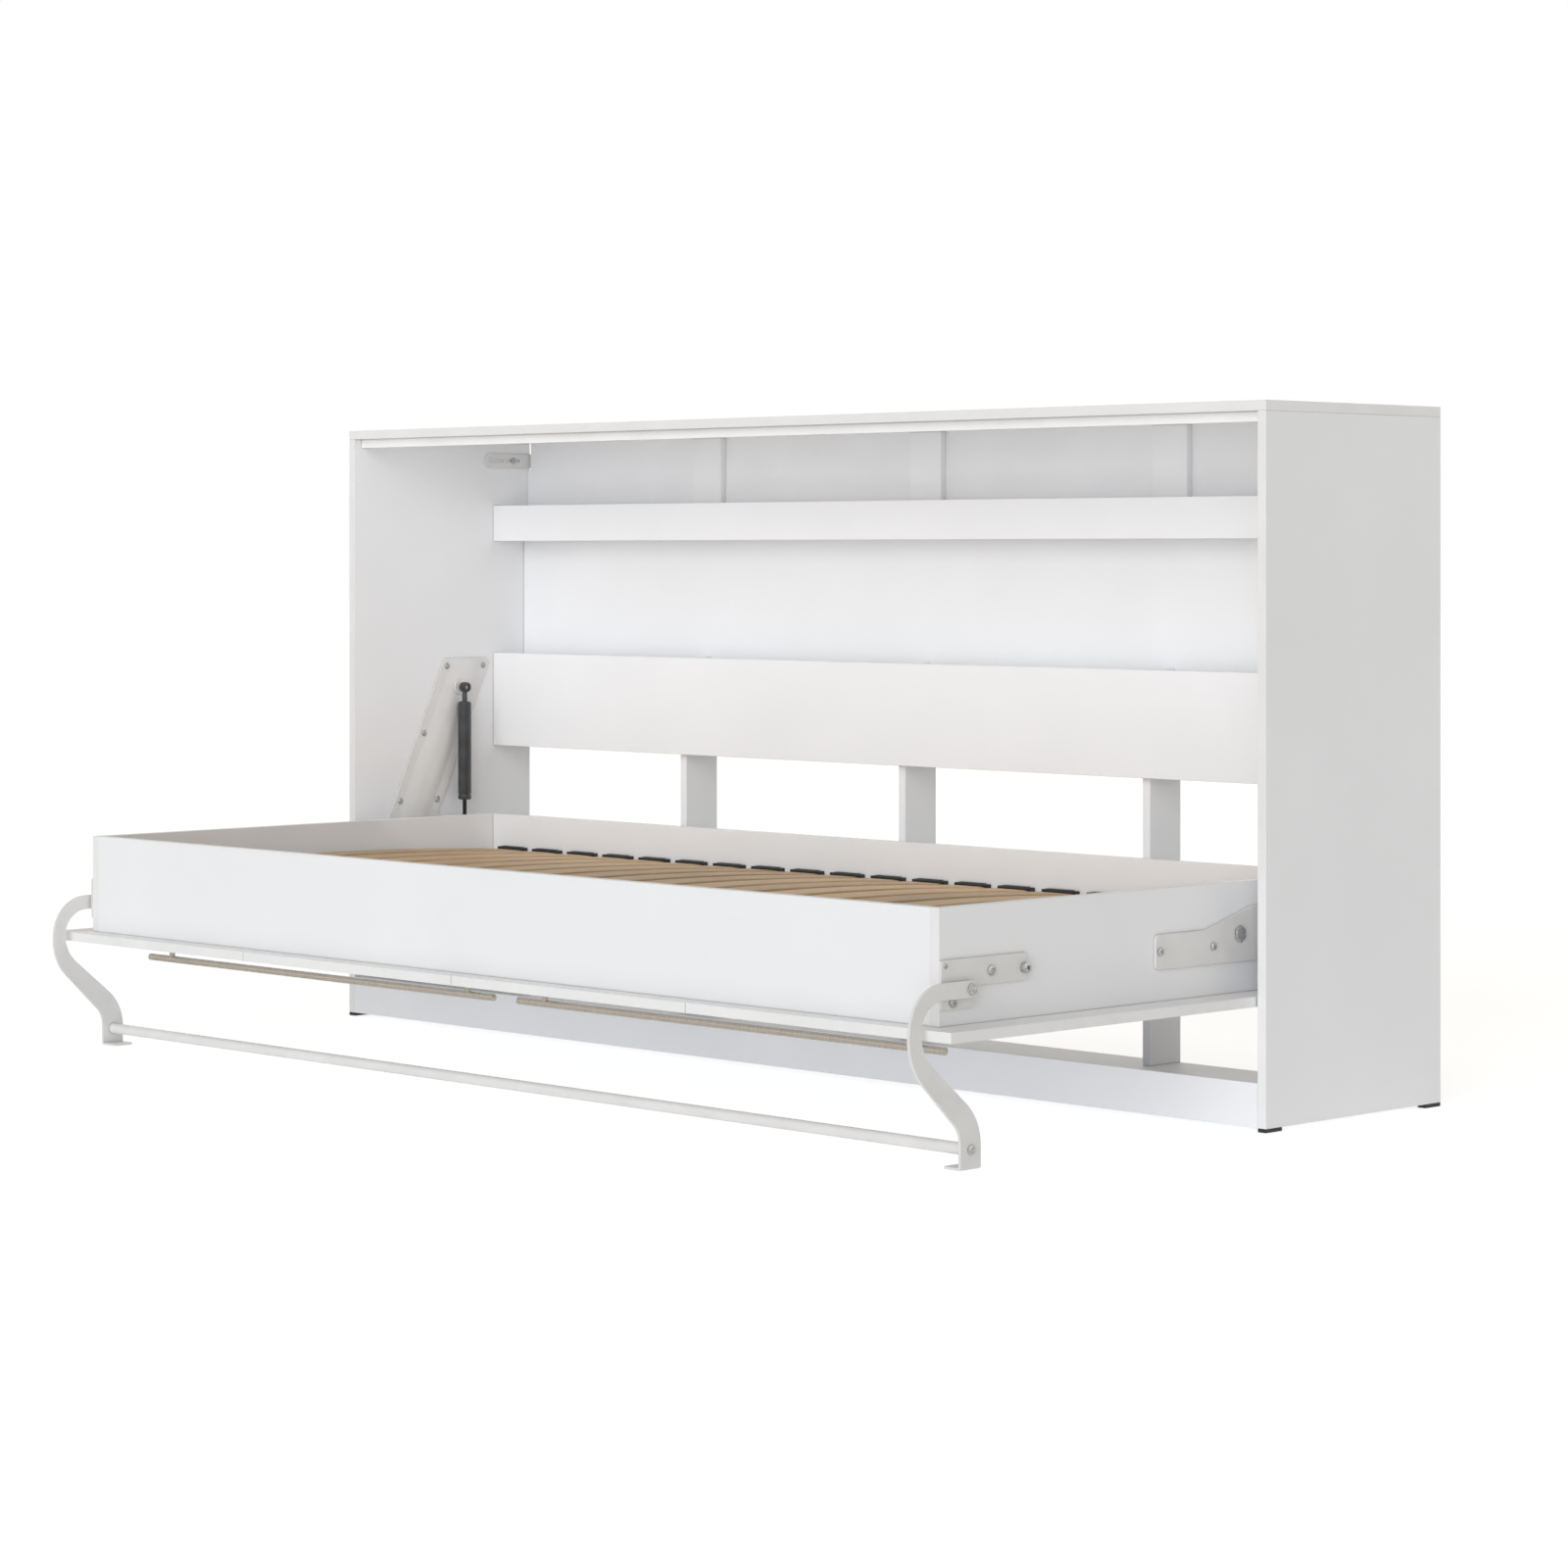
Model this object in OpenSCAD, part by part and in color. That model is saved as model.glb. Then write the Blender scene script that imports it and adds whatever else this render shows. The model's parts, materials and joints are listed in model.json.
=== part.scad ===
// Horizontal wall bed: a low cabinet whose front folds down into a single bed.
// +Z is up, the cabinet's back plane is Y = 0 with the room towards -Y, and the
// origin lies on the floor at the middle of the cabinet's width.
// The bed is drawn open. It turns about the pivot line on its side plates.

/* [Cabinet] */
// Width of the cabinet, outside
cabinet_w = 2190; // [2100:5:2400]
// Depth of the cabinet
cabinet_d = 443; // [430:1:470]
// Height of the cabinet with its glides
cabinet_h = 1107; // [1100:1:1250]
// Thickness of every coated board
board_t = 16; // [14:0.5:18]
// Height of the four floor glides
glide_h = 6; // [4:1:12]
// Height of the plinth board's top edge above the floor
plinth_top = 74; // [50:1:74]
// Height of the upper back rail
upper_rail_h = 69; // [50:1:90]
// Height of the middle back rail
middle_rail_h = 180; // [140:1:200]
// Height of the upper back rail's lower edge above the floor
upper_rail_z = 899.5; // [880:0.5:930]
// Height of the middle back rail's lower edge above the floor
middle_rail_z = 501.5; // [480:0.5:540]
// Distance from the back plane to the front of both back rails
rail_setback = 95.5; // [80:0.5:100]
// Width of the flat battens above the upper rail
batten_w = 75; // [50:1:90]

/* [Bed] */
// Width of the bed box, outside, along the cabinet
bed_w = 2040; // [1940:5:2040]
// Height of the bed box's boards
bed_h = 169; // [150:1:175]
// Number of slats
slat_count = 20; // [14:1:24]
// Width of one slat
slat_w = 68; // [50:1:75]
// Thickness of one slat
slat_t = 8; // [6:0.5:10]
// Rise of a slat's arch at its middle
slat_rise = 15; // [8:1:20]

/* [Door] */
// Distance from the pivot line to the door's lower edge when closed
door_tail = 215.5; // [200:0.5:225]
// Distance from the pivot line to the door's outer face
pivot_rise = 109.5; // [105:0.5:115]
// Margin between the door's upper edge and the bed box
bed_front_margin = 36; // [20:1:60]
// Margin between the door's lower edge and the bed box
bed_rear_margin = 27; // [15:1:40]
// Gap between the door and the cabinet's sides
door_gap = 3; // [2:0.5:5]
// Gap between the closed door and the top panel
door_top_gap = 3; // [2:0.5:5]

/* [Handles] */
// Length of one handle bar
handle_l = 928; // [600:1:940]
// Diameter of a handle bar
handle_dia = 12; // [10:1:14]
// Distance between the two posts of one handle
handle_post_pitch = 800; // [500:1:850]
// Distance from the door's face to the handle bar's axis
handle_reach = 30; // [24:1:40]

/* [Leg] */
// Height of the leg's pivot above the floor
leg_pivot_h = 256.5; // [250:0.5:262]
// Width of the leg arm near its pivot
leg_arm_w = 24.5; // [20:0.5:28]
// Width of the leg arm at its foot
leg_foot_w = 43; // [36:1:48]
// Thickness of the leg arm
leg_arm_t = 5; // [4:0.5:6]
// Diameter of the leg's cross bar
cross_bar_dia = 18; // [14:1:20]

/* [Gas spring] */
// Outer diameter of the gas spring's cylinder
gas_dia = 26; // [20:1:27]
// Length of the gas spring's cylinder
gas_body_l = 190; // [186:1:196]
// Diameter of the gas spring's rod
gas_rod_dia = 8; // [6:1:10]

/* [Hidden] */
$fn = 48;

// Colours
board_white = [0.93, 0.94, 0.95];
coated_white = [0.86, 0.86, 0.85];
zinc_grey = [0.62, 0.63, 0.64];
steel_bar = [0.66, 0.64, 0.60];
spring_black = [0.16, 0.17, 0.18];
rod_black = [0.20, 0.21, 0.22];
beech = [0.76, 0.62, 0.46];
pine = [0.86, 0.76, 0.58];
plastic_black = [0.12, 0.12, 0.12];
fibre_white = [0.90, 0.90, 0.89];

// Cabinet lines
half_w = cabinet_w / 2;
inner_x = half_w - board_t;
front_y = -cabinet_d;
top_z = cabinet_h - board_t;
rail_y = -rail_setback;
post_y = rail_y + board_t;
post_x = [-558, 0, 558];
bottom_top = glide_h + board_t;
fibre_t = 3;
fibre_inset = 3;
fibre_front = -(fibre_t + fibre_inset);
middle_back_top = upper_rail_z + upper_rail_h;
glide_l = 40;

// Bed lines: the door's outer face lies flush with the cabinet's front when closed and
// its upper edge just under the top panel, so both follow from where the pivot lies.
door_z0 = 189;
door_z1 = door_z0 + board_t;
pivot_z = door_z0 + pivot_rise;
pivot_y = front_y + pivot_rise;
closed_top = top_z - door_top_gap;
door_front_y = pivot_y - (closed_top - pivot_z);
door_rear_y = pivot_y + door_tail;
door_l = door_rear_y - door_front_y;
door_half_w = inner_x - door_gap;
bed_half_w = bed_w / 2;
bed_front_y = door_front_y + bed_front_margin;
bed_rear_y = door_rear_y - bed_rear_margin;
bed_d = bed_rear_y - bed_front_y;
bed_z0 = door_z1;
bed_z1 = bed_z0 + bed_h;
bed_inner_x = bed_half_w - board_t;
slat_z = bed_z0 + 95;
slat_end_gap = 63.5; // from a bed side's inner face to the first slat's middle
slat_pitch = 2 * (bed_inner_x - slat_end_gap) / (slat_count - 1);
holder_l = slat_w + 7;
holder_d = 12;
holder_h = slat_t + 9;
holder_wall = 4;
ledge_h = 32;
ledge_d = 20;
cleat_w = 100;

// Fasteners
dowel_r = 4;
dowel_l = 30;
dowel_in = 10;
screw_r = 2.5;
screw_head_r = 6;
screw_head_h = 3;
screw_depth = 12;
clearance = 0.3;
running_fit = 0.05;

// Side hardware, measured from the cabinet's middle for the right-hand side
plate_t = 5;
plate_x = bed_half_w + plate_t;
sheet_t = 2.5;
channel_rise = 8;
channel_x = inner_x - channel_rise;
bracket_slope = 0.457;
bracket_half_w = 60;
channel_half_w = 34;
channel_top_half_w = 19;
bracket_top_z = pivot_z + 374.5;
bracket_low_z = pivot_z - 35.5;
bracket_screw_z = [bracket_top_z - 15, bracket_top_z - 143, bracket_low_z + 139,
                   bracket_low_z + 12];
bracket_screw_in = 14;
stud_y = pivot_y + 145.5;
upper_stud_z = pivot_z + (stud_y - pivot_y) / bracket_slope;
lower_stud_z = pivot_z - 34.5;
gas_gap = 1.5; // between the gas spring and the bracket's channel
gas_x = channel_x - gas_gap - gas_dia / 2;
ball_r = 6.5;
stud_neck_r = 4;
stud_base_r = 15;
stud_base_t = 3;
socket_r = 9.5;
socket_window_r = 4.5;
socket_half_l = 6.5;
socket_wall = 2;
socket_neck_r = 5;
socket_neck_l = 27;
gas_wall = 2;
gas_cap_t = 6;
rod_inside = 165;
piston_t = 6;
pin_r = 8;
pin_shoulder_r = 12;
bush_r = 11;
bush_flange_r = 15;
bush_flange_t = 2.5;
pin_head_r = 12;
pin_head_t = 3;

// Leg
leg_y = bed_front_y + 52.3;
leg_plate_t = 4.5;
leg_plate_x = bed_half_w + leg_plate_t;
arm_x = leg_plate_x + 5;
arm_out_x = arm_x + leg_arm_t;
leg_journal_r = 6;
foot_y = leg_y - 1.3;
cross_bar_y = foot_y;
cross_bar_z = 28.5;
foot_lip_l = 30;
foot_lip_t = 4;
stop_r = 7.5;

// ---------------------------------------------------------------- helpers

// Points of a closed outline with every corner rounded by radius r in n steps
function unit(v) = v / norm(v);
function corner(a, b, c, r, n) =
    let (u = unit(a - b), w = unit(c - b),
         half = acos(min(1, max(-1, u * w))) / 2,
         reach = min(r / tan(half), norm(a - b) / 2, norm(c - b) / 2),
         rr = reach * tan(half),
         mid = b + unit(u + w) * rr / sin(half),
         p = b + u * reach, q = b + w * reach)
    [for (i = [0:n]) let (m = unit((p - mid) * (n - i) + (q - mid) * i)) mid + m * rr];
function rounded(pts, r, n = 4) =
    [for (i = [0:len(pts) - 1])
        each corner(pts[(i + len(pts) - 1) % len(pts)], pts[i], pts[(i + 1) % len(pts)], r, n)];

// A plate whose outline is given as (y, z), standing from x to x + t
module side_plate(x, t) {
    translate([x, 0, 0]) rotate([90, 0, 90]) linear_extrude(t) children();
}

// A cylinder along X from x to x + l at (y, z)
module rod_x(x, l, r, y, z) {
    translate([x, y, z]) rotate([0, 90, 0]) cylinder(h = l, r = r);
}

// The same piece on the other side of the cabinet
module both_sides() {
    children();
    mirror([1, 0, 0]) children();
}

// A pan-head screw along X: its head sits outside x, its shank runs towards +X
module pan_screw(x, y, z, depth) {
    rod_x(x - screw_head_h, screw_head_h, screw_head_r, y, z);
    rod_x(x, depth, screw_r, y, z);
}

// ---------------------------------------------------------------- cabinet

// Places of the cabinet's dowels. Each is [x, y, z] of the joint face's middle.
side_dowels = [
    for (y = [-60, -250, -400]) [inner_x, y, glide_h + board_t / 2],
    for (z = [25, 56]) [inner_x, front_y + board_t / 2, z],
    [inner_x, rail_y + board_t / 2, upper_rail_z + 16],
    [inner_x, rail_y + board_t / 2, upper_rail_z + upper_rail_h - 16],
    [inner_x, rail_y + board_t / 2, middle_rail_z + 40],
    [inner_x, rail_y + board_t / 2, middle_rail_z + middle_rail_h - 40]
];
top_dowels = [for (y = [-60, -250, -400]) [half_w - board_t / 2, y, top_z]];

module side_dowel_set() {
    for (p = side_dowels) rod_x(p[0] - dowel_l + dowel_in, dowel_l, dowel_r, p[1], p[2]);
}

module top_dowel_set() {
    for (p = top_dowels) translate([p[0], p[1], p[2] - dowel_l + dowel_in])
        cylinder(h = dowel_l, r = dowel_r);
}

module cabinet_dowels() {
    color(pine) both_sides() {
        side_dowel_set();
        top_dowel_set();
    }
}

function bracket_y(z, offset) = pivot_y + (z - pivot_z) * bracket_slope + offset;
bracket_screws = [for (z = bracket_screw_z, s = [-1, 1])
    [bracket_y(z, s * (bracket_half_w - bracket_screw_in)), z]];
wall_screw_y = -46;

module side_panel() {
    difference() {
        translate([inner_x, front_y, glide_h]) cube([board_t, cabinet_d, top_z - glide_h]);
        side_dowel_set();
        top_dowel_set();
        for (p = bracket_screws) rod_x(inner_x - 1, screw_depth - sheet_t + 1, screw_r, p[0], p[1]);
        rod_x(inner_x - 1, screw_depth - sheet_t + 1, screw_r, wall_screw_y, wall_plate_z);
    }
}

module left_side_panel() { color(board_white) mirror([1, 0, 0]) side_panel(); }
module right_side_panel() { color(board_white) side_panel(); }

module top_panel() {
    color(board_white) difference() {
        translate([-half_w, front_y, top_z]) cube([cabinet_w, cabinet_d, board_t]);
        both_sides() top_dowel_set();
    }
}

// A board between the two side panels, from y and z with depth d and height h
module cross_board(y, z, d, h) {
    color(board_white) difference() {
        translate([-inner_x, y, z]) cube([2 * inner_x, d, h]);
        both_sides() side_dowel_set();
    }
}

module bottom_board() { cross_board(front_y + board_t, glide_h, cabinet_d - board_t, board_t); }
module plinth_board() { cross_board(front_y, glide_h, board_t, plinth_top - glide_h); }
module door_stop_board() { cross_board(front_y + board_t + 0.5, top_z - board_t, board_t, board_t); }
module upper_back_rail() { cross_board(rail_y, upper_rail_z, board_t, upper_rail_h); }
module middle_back_rail() { cross_board(rail_y, middle_rail_z, board_t, middle_rail_h); }
module middle_back_panel() {
    cross_board(-board_t, middle_rail_z, board_t, middle_back_top - middle_rail_z);
}

// Upright from the bottom board to the middle rail's lower edge, which runs on
// as a narrow spacer between that rail and the back panel
module back_post(x) {
    color(board_white) {
        translate([x - board_t / 2, post_y, bottom_top])
            cube([board_t, -post_y, middle_rail_z - bottom_top]);
        translate([x - board_t / 2, post_y, middle_rail_z])
            cube([board_t, -post_y - board_t, middle_rail_h]);
    }
}
module back_post_1() { back_post(post_x[0]); }
module back_post_2() { back_post(post_x[1]); }
module back_post_3() { back_post(post_x[2]); }

module back_battens() {
    color(board_white) for (x = post_x)
        translate([x - batten_w / 2, fibre_front - board_t + fibre_inset, middle_back_top])
            cube([batten_w, board_t - fibre_inset, top_z - middle_back_top]);
}

wall_plate_z = top_z - 34.5;
wall_plate_h = 27;
notch_w = 10;
notch_z = wall_plate_z - wall_plate_h / 2 - 3;

module upper_back_board() {
    color(fibre_white) difference() {
        translate([-inner_x, fibre_front, middle_back_top])
            cube([2 * inner_x, fibre_t, top_z - middle_back_top]);
        both_sides() translate([inner_x - notch_w, fibre_front - 1, notch_z])
            cube([notch_w + 1, fibre_t + 2, top_z]);
    }
}

module floor_glides() {
    color(plastic_black) both_sides() for (y = [front_y, -glide_l])
        translate([inner_x, y, 0]) cube([board_t, glide_l, glide_h]);
}

// Angle bracket: a slotted plate on the side panel and a leaf against the wall
wall_leaf_w = 34;
wall_hole_x = inner_x - 22;
wall_hole_r = 3.25;
wall_plate_l = 118;

module slot_2d(y0, y1, z, r) {
    translate([y0 + r, z]) circle(r);
    translate([y1 - r, z]) circle(r);
    translate([y0 + r, z - r]) square([y1 - y0 - 2 * r, 2 * r]);
}

module wall_bracket() {
    r = wall_plate_h / 2;
    difference() {
        union() {
            side_plate(inner_x - sheet_t, sheet_t) {
                translate([-wall_plate_l + r, wall_plate_z]) circle(r);
                translate([-wall_plate_l + r, wall_plate_z - r]) square([wall_plate_l - r, 2 * r]);
            }
            translate([inner_x - wall_leaf_w, -sheet_t, wall_plate_z - r])
                cube([wall_leaf_w - sheet_t, sheet_t, wall_plate_h]);
        }
        side_plate(inner_x - sheet_t - 1, sheet_t + 2) {
            slot_2d(-108, -71, wall_plate_z, 3);
            slot_2d(-65, -28, wall_plate_z, 3);
        }
        translate([wall_hole_x, 1, wall_plate_z]) rotate([90, 0, 0])
            cylinder(h = sheet_t + 2, r = wall_hole_r);
    }
}
module left_wall_bracket() { color(coated_white) mirror([1, 0, 0]) wall_bracket(); }
module right_wall_bracket() { color(coated_white) wall_bracket(); }

module wall_bracket_screws() {
    color(zinc_grey) both_sides()
        pan_screw(inner_x - sheet_t, wall_screw_y, wall_plate_z, screw_depth);
}

// Pressed steel bracket that carries the bed's pivot pin and the gas spring.
// A hat-shaped channel stands along its middle, between two flat flanges.
module bracket_band(half_low, x0, x1, z0 = bracket_low_z, z1 = bracket_top_z) {
    side_plate(x0, x1 - x0) polygon([
        [bracket_y(z0, -half_low), z0], [bracket_y(z1, -half_low), z1],
        [bracket_y(z1, half_low), z1], [bracket_y(z0, half_low), z0]
    ]);
}

// The channel's section as (offset across the bracket, x), swept along the bracket
module channel_prism(out_half, top_half, x_base, x_top) {
    length = bracket_top_z - bracket_low_z;
    translate([0, bracket_y(bracket_low_z, 0), bracket_low_z])
        multmatrix([[1, 0, 0, 0], [0, 1, bracket_slope, 0], [0, 0, 1, 0]])
            linear_extrude(length) polygon([
                [x_base, -out_half], [x_top, -top_half], [x_top, top_half], [x_base, out_half]
            ]);
}

module lift_bracket() {
    corner_r = 10;
    outline = rounded([
        [bracket_y(bracket_low_z, -bracket_half_w), bracket_low_z],
        [bracket_y(bracket_top_z, -bracket_half_w), bracket_top_z],
        [bracket_y(bracket_top_z, bracket_half_w), bracket_top_z],
        [bracket_y(bracket_low_z, bracket_half_w), bracket_low_z]
    ], corner_r);
    difference() {
        union() {
            side_plate(inner_x - sheet_t, sheet_t) polygon(outline);
            channel_prism(channel_half_w, channel_top_half_w, inner_x - sheet_t, channel_x);
        }
        channel_prism(channel_half_w - 1.5, channel_top_half_w - 1.5, inner_x + 0.5,
                      channel_x + sheet_t);
        for (p = bracket_screws) rod_x(channel_x, channel_rise + 1, screw_r + 0.25, p[0], p[1]);
        rod_x(channel_x - 1, sheet_t + 2, pin_r, pivot_y, pivot_z);
        rod_x(channel_x - 1, sheet_t + 2, stud_neck_r, stud_y, upper_stud_z);
    }
}
module left_lift_bracket() { color(coated_white) mirror([1, 0, 0]) lift_bracket(); }
module right_lift_bracket() { color(coated_white) lift_bracket(); }

module lift_bracket_screws() {
    color(zinc_grey) both_sides() for (p = bracket_screws)
        pan_screw(inner_x - sheet_t, p[0], p[1], screw_depth);
}

// Pivot pin: riveted in the bracket's channel, stepped down to the journal in the bush
bush_out_x = plate_x + bush_flange_t;
bush_in_x = bed_half_w - 2.5;
pin_shoulder_x = bush_out_x + clearance;
pin_head_x = bush_in_x - clearance;

module pivot_pins() {
    color(zinc_grey) both_sides() {
        rod_x(channel_x, sheet_t + 2, pin_r, pivot_y, pivot_z);
        rod_x(pin_shoulder_x, channel_x - pin_shoulder_x, pin_shoulder_r, pivot_y, pivot_z);
        rod_x(pin_head_x, pin_shoulder_x - pin_head_x, pin_r, pivot_y, pivot_z);
        rod_x(pin_head_x - pin_head_t, pin_head_t, pin_head_r, pivot_y, pivot_z);
    }
}

module pivot_bushes() {
    color(plastic_black) both_sides() difference() {
        union() {
            rod_x(bush_in_x, plate_x - bush_in_x, bush_r - running_fit, pivot_y, pivot_z);
            rod_x(plate_x + 0.1, bush_out_x - plate_x - 0.1, bush_flange_r, pivot_y, pivot_z);
            rod_x(plate_x - 0.1, 0.3, bush_r - running_fit, pivot_y, pivot_z);
        }
        rod_x(bush_in_x - 1, bush_out_x - bush_in_x + 2, pin_r + running_fit, pivot_y, pivot_z);
    }
}

// A ball stud turned in one piece: base disc at base_x, neck, and the ball at tip_x
module ball_stud(base_x, tip_x, y, z) {
    reach = abs(tip_x - base_x);
    neck_end = reach - sqrt(ball_r * ball_r - stud_neck_r * stud_neck_r);
    neck_angle = asin(stud_neck_r / ball_r);
    steps = 12;
    translate([base_x, y, z]) rotate([0, tip_x > base_x ? 90 : -90, 0]) rotate_extrude()
        polygon(concat(
            [[0, 0], [stud_base_r, 0], [stud_base_r, stud_base_t], [stud_neck_r, stud_base_t],
             [stud_neck_r, neck_end]],
            [for (i = [1:steps - 1]) let (a = neck_angle + (180 - neck_angle) * i / steps)
                [ball_r * sin(a), reach - ball_r * cos(a)]],
            [[0, reach + ball_r]]
        ));
}

module upper_ball_studs() {
    color(coated_white) both_sides() {
        ball_stud(channel_x, gas_x, stud_y, upper_stud_z);
        rod_x(channel_x, sheet_t + 2, stud_neck_r, stud_y, upper_stud_z);
    }
}

// ---------------------------------------------------------------- bed box and door

bolt_r = 4;
bolt_head_r = 7.5;
bolt_head_h = 4;
bolt_back_t = 2;

bed_dowel_z = [bed_z0 + 35, bed_z1 - 35];
module bed_dowel_set() {
    for (y = [bed_front_y + board_t / 2, bed_rear_y - board_t / 2], z = bed_dowel_z)
        rod_x(bed_inner_x + dowel_in - dowel_l, dowel_l, dowel_r, y, z);
}
module bed_dowels() { color(pine) both_sides() bed_dowel_set(); }

// Each hinge bolt is [y, z], laid out from the pivot; the last one ends in a hexagon nut
hinge_bolts = [[pivot_y - 273.5, pivot_z - 18.5], [pivot_y - 148.5, pivot_z - 18.5],
               [pivot_y - 84.5, pivot_z - 3.5]];
hinge_bolt_head_r = 6;
hinge_nut_r = 13;
leg_bolts = [[bed_front_y + 105, leg_pivot_h + 22.5],
             [bed_front_y + board_t + bolt_head_r + 0.5, leg_pivot_h - 17.5]];
leg_small_screw = [bed_front_y + 9.2, leg_pivot_h + 34.7];
leg_stop = [bed_front_y + 174.6, leg_pivot_h + 21.8];

module bed_side() {
    difference() {
        translate([bed_inner_x, bed_front_y, bed_z0]) cube([board_t, bed_d, bed_h]);
        bed_dowel_set();
        for (p = hinge_bolts) rod_x(bed_inner_x - 1, board_t + 2, bolt_r, p[0], p[1]);
        for (p = concat(leg_bolts, [leg_stop, [leg_y, leg_pivot_h]]))
            rod_x(bed_inner_x - 1, board_t + 2, bolt_r, p[0], p[1]);
        rod_x(bed_half_w - 8, 9, screw_r, leg_small_screw[0], leg_small_screw[1]);
        rod_x(pin_head_x - pin_head_t - 1, bed_half_w - pin_head_x + pin_head_t + 2,
              bush_flange_r + 1, pivot_y, pivot_z);
    }
}
module left_bed_side() { color(board_white) mirror([1, 0, 0]) bed_side(); }
module right_bed_side() { color(board_white) bed_side(); }

module bed_end_board(y) {
    color(board_white) difference() {
        translate([-bed_inner_x, y, bed_z0]) cube([2 * bed_inner_x, board_t, bed_h]);
        both_sides() bed_dowel_set();
    }
}
module bed_front_board() { bed_end_board(bed_front_y); }
module bed_rear_board() { bed_end_board(bed_rear_y - board_t); }

// Four door panels side by side under the bed box
seam_gap = 1;
panel_w = (2 * door_half_w - 3 * seam_gap) / 4;
handle_y = door_front_y + 117;
handle_z = door_z0 - handle_reach;
handle_gap = 60;
handle_mid = handle_gap / 2 + handle_l / 2;
handle_post_x = [for (s = [-1, 1], k = [-1, 1]) s * (handle_mid + k * handle_post_pitch / 2)];
handle_screw_r = 2;

module door_panel(i) {
    color(board_white) difference() {
        translate([-door_half_w + i * (panel_w + seam_gap), door_front_y, door_z0])
            cube([panel_w, door_l, board_t]);
        for (x = handle_post_x) translate([x, handle_y, door_z0 - 1])
            cylinder(h = board_t + 2, r = handle_screw_r);
    }
}
module door_panel_1() { door_panel(0); }
module door_panel_2() { door_panel(1); }
module door_panel_3() { door_panel(2); }
module door_panel_4() { door_panel(3); }

// Flat boards that join the door panels inside the bed box
module door_cleats() {
    color(board_white) for (i = [0:2])
        translate([-door_half_w + (i + 1) * (panel_w + seam_gap) - seam_gap / 2 - cleat_w / 2,
                   bed_front_y + board_t, door_z1])
            cube([cleat_w, bed_d - 2 * board_t, board_t]);
}

bed_in_front = bed_front_y + board_t;
bed_in_rear = bed_rear_y - board_t;
ledge_z1 = slat_z - holder_wall;

module slat_ledges() {
    color(pine) for (y = [bed_in_front, bed_in_rear - ledge_d])
        translate([-bed_inner_x, y, ledge_z1 - ledge_h])
            cube([2 * bed_inner_x, ledge_d, ledge_h]);
}

// Arched slats: each is a length of a thin ring
slat_mid_y = (bed_in_front + bed_in_rear) / 2;
slat_half_l = (bed_in_rear - bed_in_front) / 2 - holder_wall;
slat_arc_r = (slat_half_l * slat_half_l + slat_rise * slat_rise) / (2 * slat_rise);
function slat_x(i) = (i - (slat_count - 1) / 2) * slat_pitch;

module slat(x) {
    side_plate(x - slat_w / 2, slat_w) intersection() {
        translate([slat_mid_y, slat_z + slat_rise - slat_arc_r]) difference() {
            circle(slat_arc_r + slat_t, $fn = 720);
            circle(slat_arc_r, $fn = 720);
        }
        translate([slat_mid_y - slat_half_l, slat_z - 10])
            square([2 * slat_half_l, slat_rise + slat_t + 20]);
    }
}
module slats() { color(beech) for (i = [0:slat_count - 1]) slat(slat_x(i)); }

// Plastic caps that hold the slats' ends on the ledges
module slat_holder(x, y) {
    room = 1;
    difference() {
        translate([x - holder_l / 2, y, ledge_z1]) cube([holder_l, holder_d, holder_h]);
        translate([x - slat_w / 2, y + (y < slat_mid_y ? holder_wall : -room), slat_z])
            cube([slat_w, holder_d - holder_wall + room, holder_h - 2 * holder_wall]);
    }
}
module slat_holders() {
    color(plastic_black) for (i = [0:slat_count - 1], y = [bed_in_front, bed_in_rear - holder_d])
        slat_holder(slat_x(i), y);
}

// ---------------------------------------------------------------- handles

module handle(side) {
    color(steel_bar) rod_x(side * handle_mid - handle_l / 2, handle_l, handle_dia / 2,
                           handle_y, handle_z);
}
module left_handle() { handle(-1); }
module right_handle() { handle(1); }

// Posts end in the bar's round: each is cut away where the bar lies
module handle_posts() {
    color(steel_bar) difference() {
        for (x = handle_post_x) translate([x, handle_y, handle_z])
            cylinder(h = handle_reach, r = handle_dia / 2 - 1);
        for (s = [-1, 1]) rod_x(s * handle_mid - handle_l / 2, handle_l, handle_dia / 2,
                                handle_y, handle_z);
        for (x = handle_post_x) translate([x, handle_y, door_z0 - 10])
            cylinder(h = 11, r = handle_screw_r);
    }
}

module handle_screws() {
    color(zinc_grey) for (x = handle_post_x) translate([x, handle_y, 0]) {
        translate([0, 0, door_z0 - 10]) cylinder(h = 10 + board_t, r = handle_screw_r);
        translate([0, 0, door_z1]) cylinder(h = 2.5, r = 4.5);
    }
}

// ---------------------------------------------------------------- bed hardware

module hinge_plate() {
    // From the pivot, towards the room and round by the wall end
    outline = rounded([for (p = [
        [-282.5, -45.5], [-41.5, -45.5], [103.5, -60.5], [175.5, -60.5], [175.5, -6.5],
        [48.5, 37.5], [-51.5, 37.5], [-164.5, 7], [-282.5, 7]
    ]) [pivot_y + p[0], pivot_z + p[1]]], 8);
    difference() {
        side_plate(bed_half_w, plate_t) polygon(outline);
        for (p = hinge_bolts) rod_x(bed_half_w - 1, plate_t + 2, bolt_r, p[0], p[1]);
        rod_x(bed_half_w - 1, plate_t + 2, bush_r, pivot_y, pivot_z);
    }
}
module left_hinge_plate() { color(coated_white) mirror([1, 0, 0]) hinge_plate(); }
module right_hinge_plate() { color(coated_white) hinge_plate(); }

// A bolt through a plate and the bed's side board, with a flat nut inside
module through_bolt(outer_x, y, z, head_r, head_h) {
    rod_x(outer_x, head_h, head_r, y, z);
    rod_x(bed_inner_x, outer_x - bed_inner_x, bolt_r, y, z);
    rod_x(bed_inner_x - bolt_back_t, bolt_back_t, bolt_head_r, y, z);
}

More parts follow.
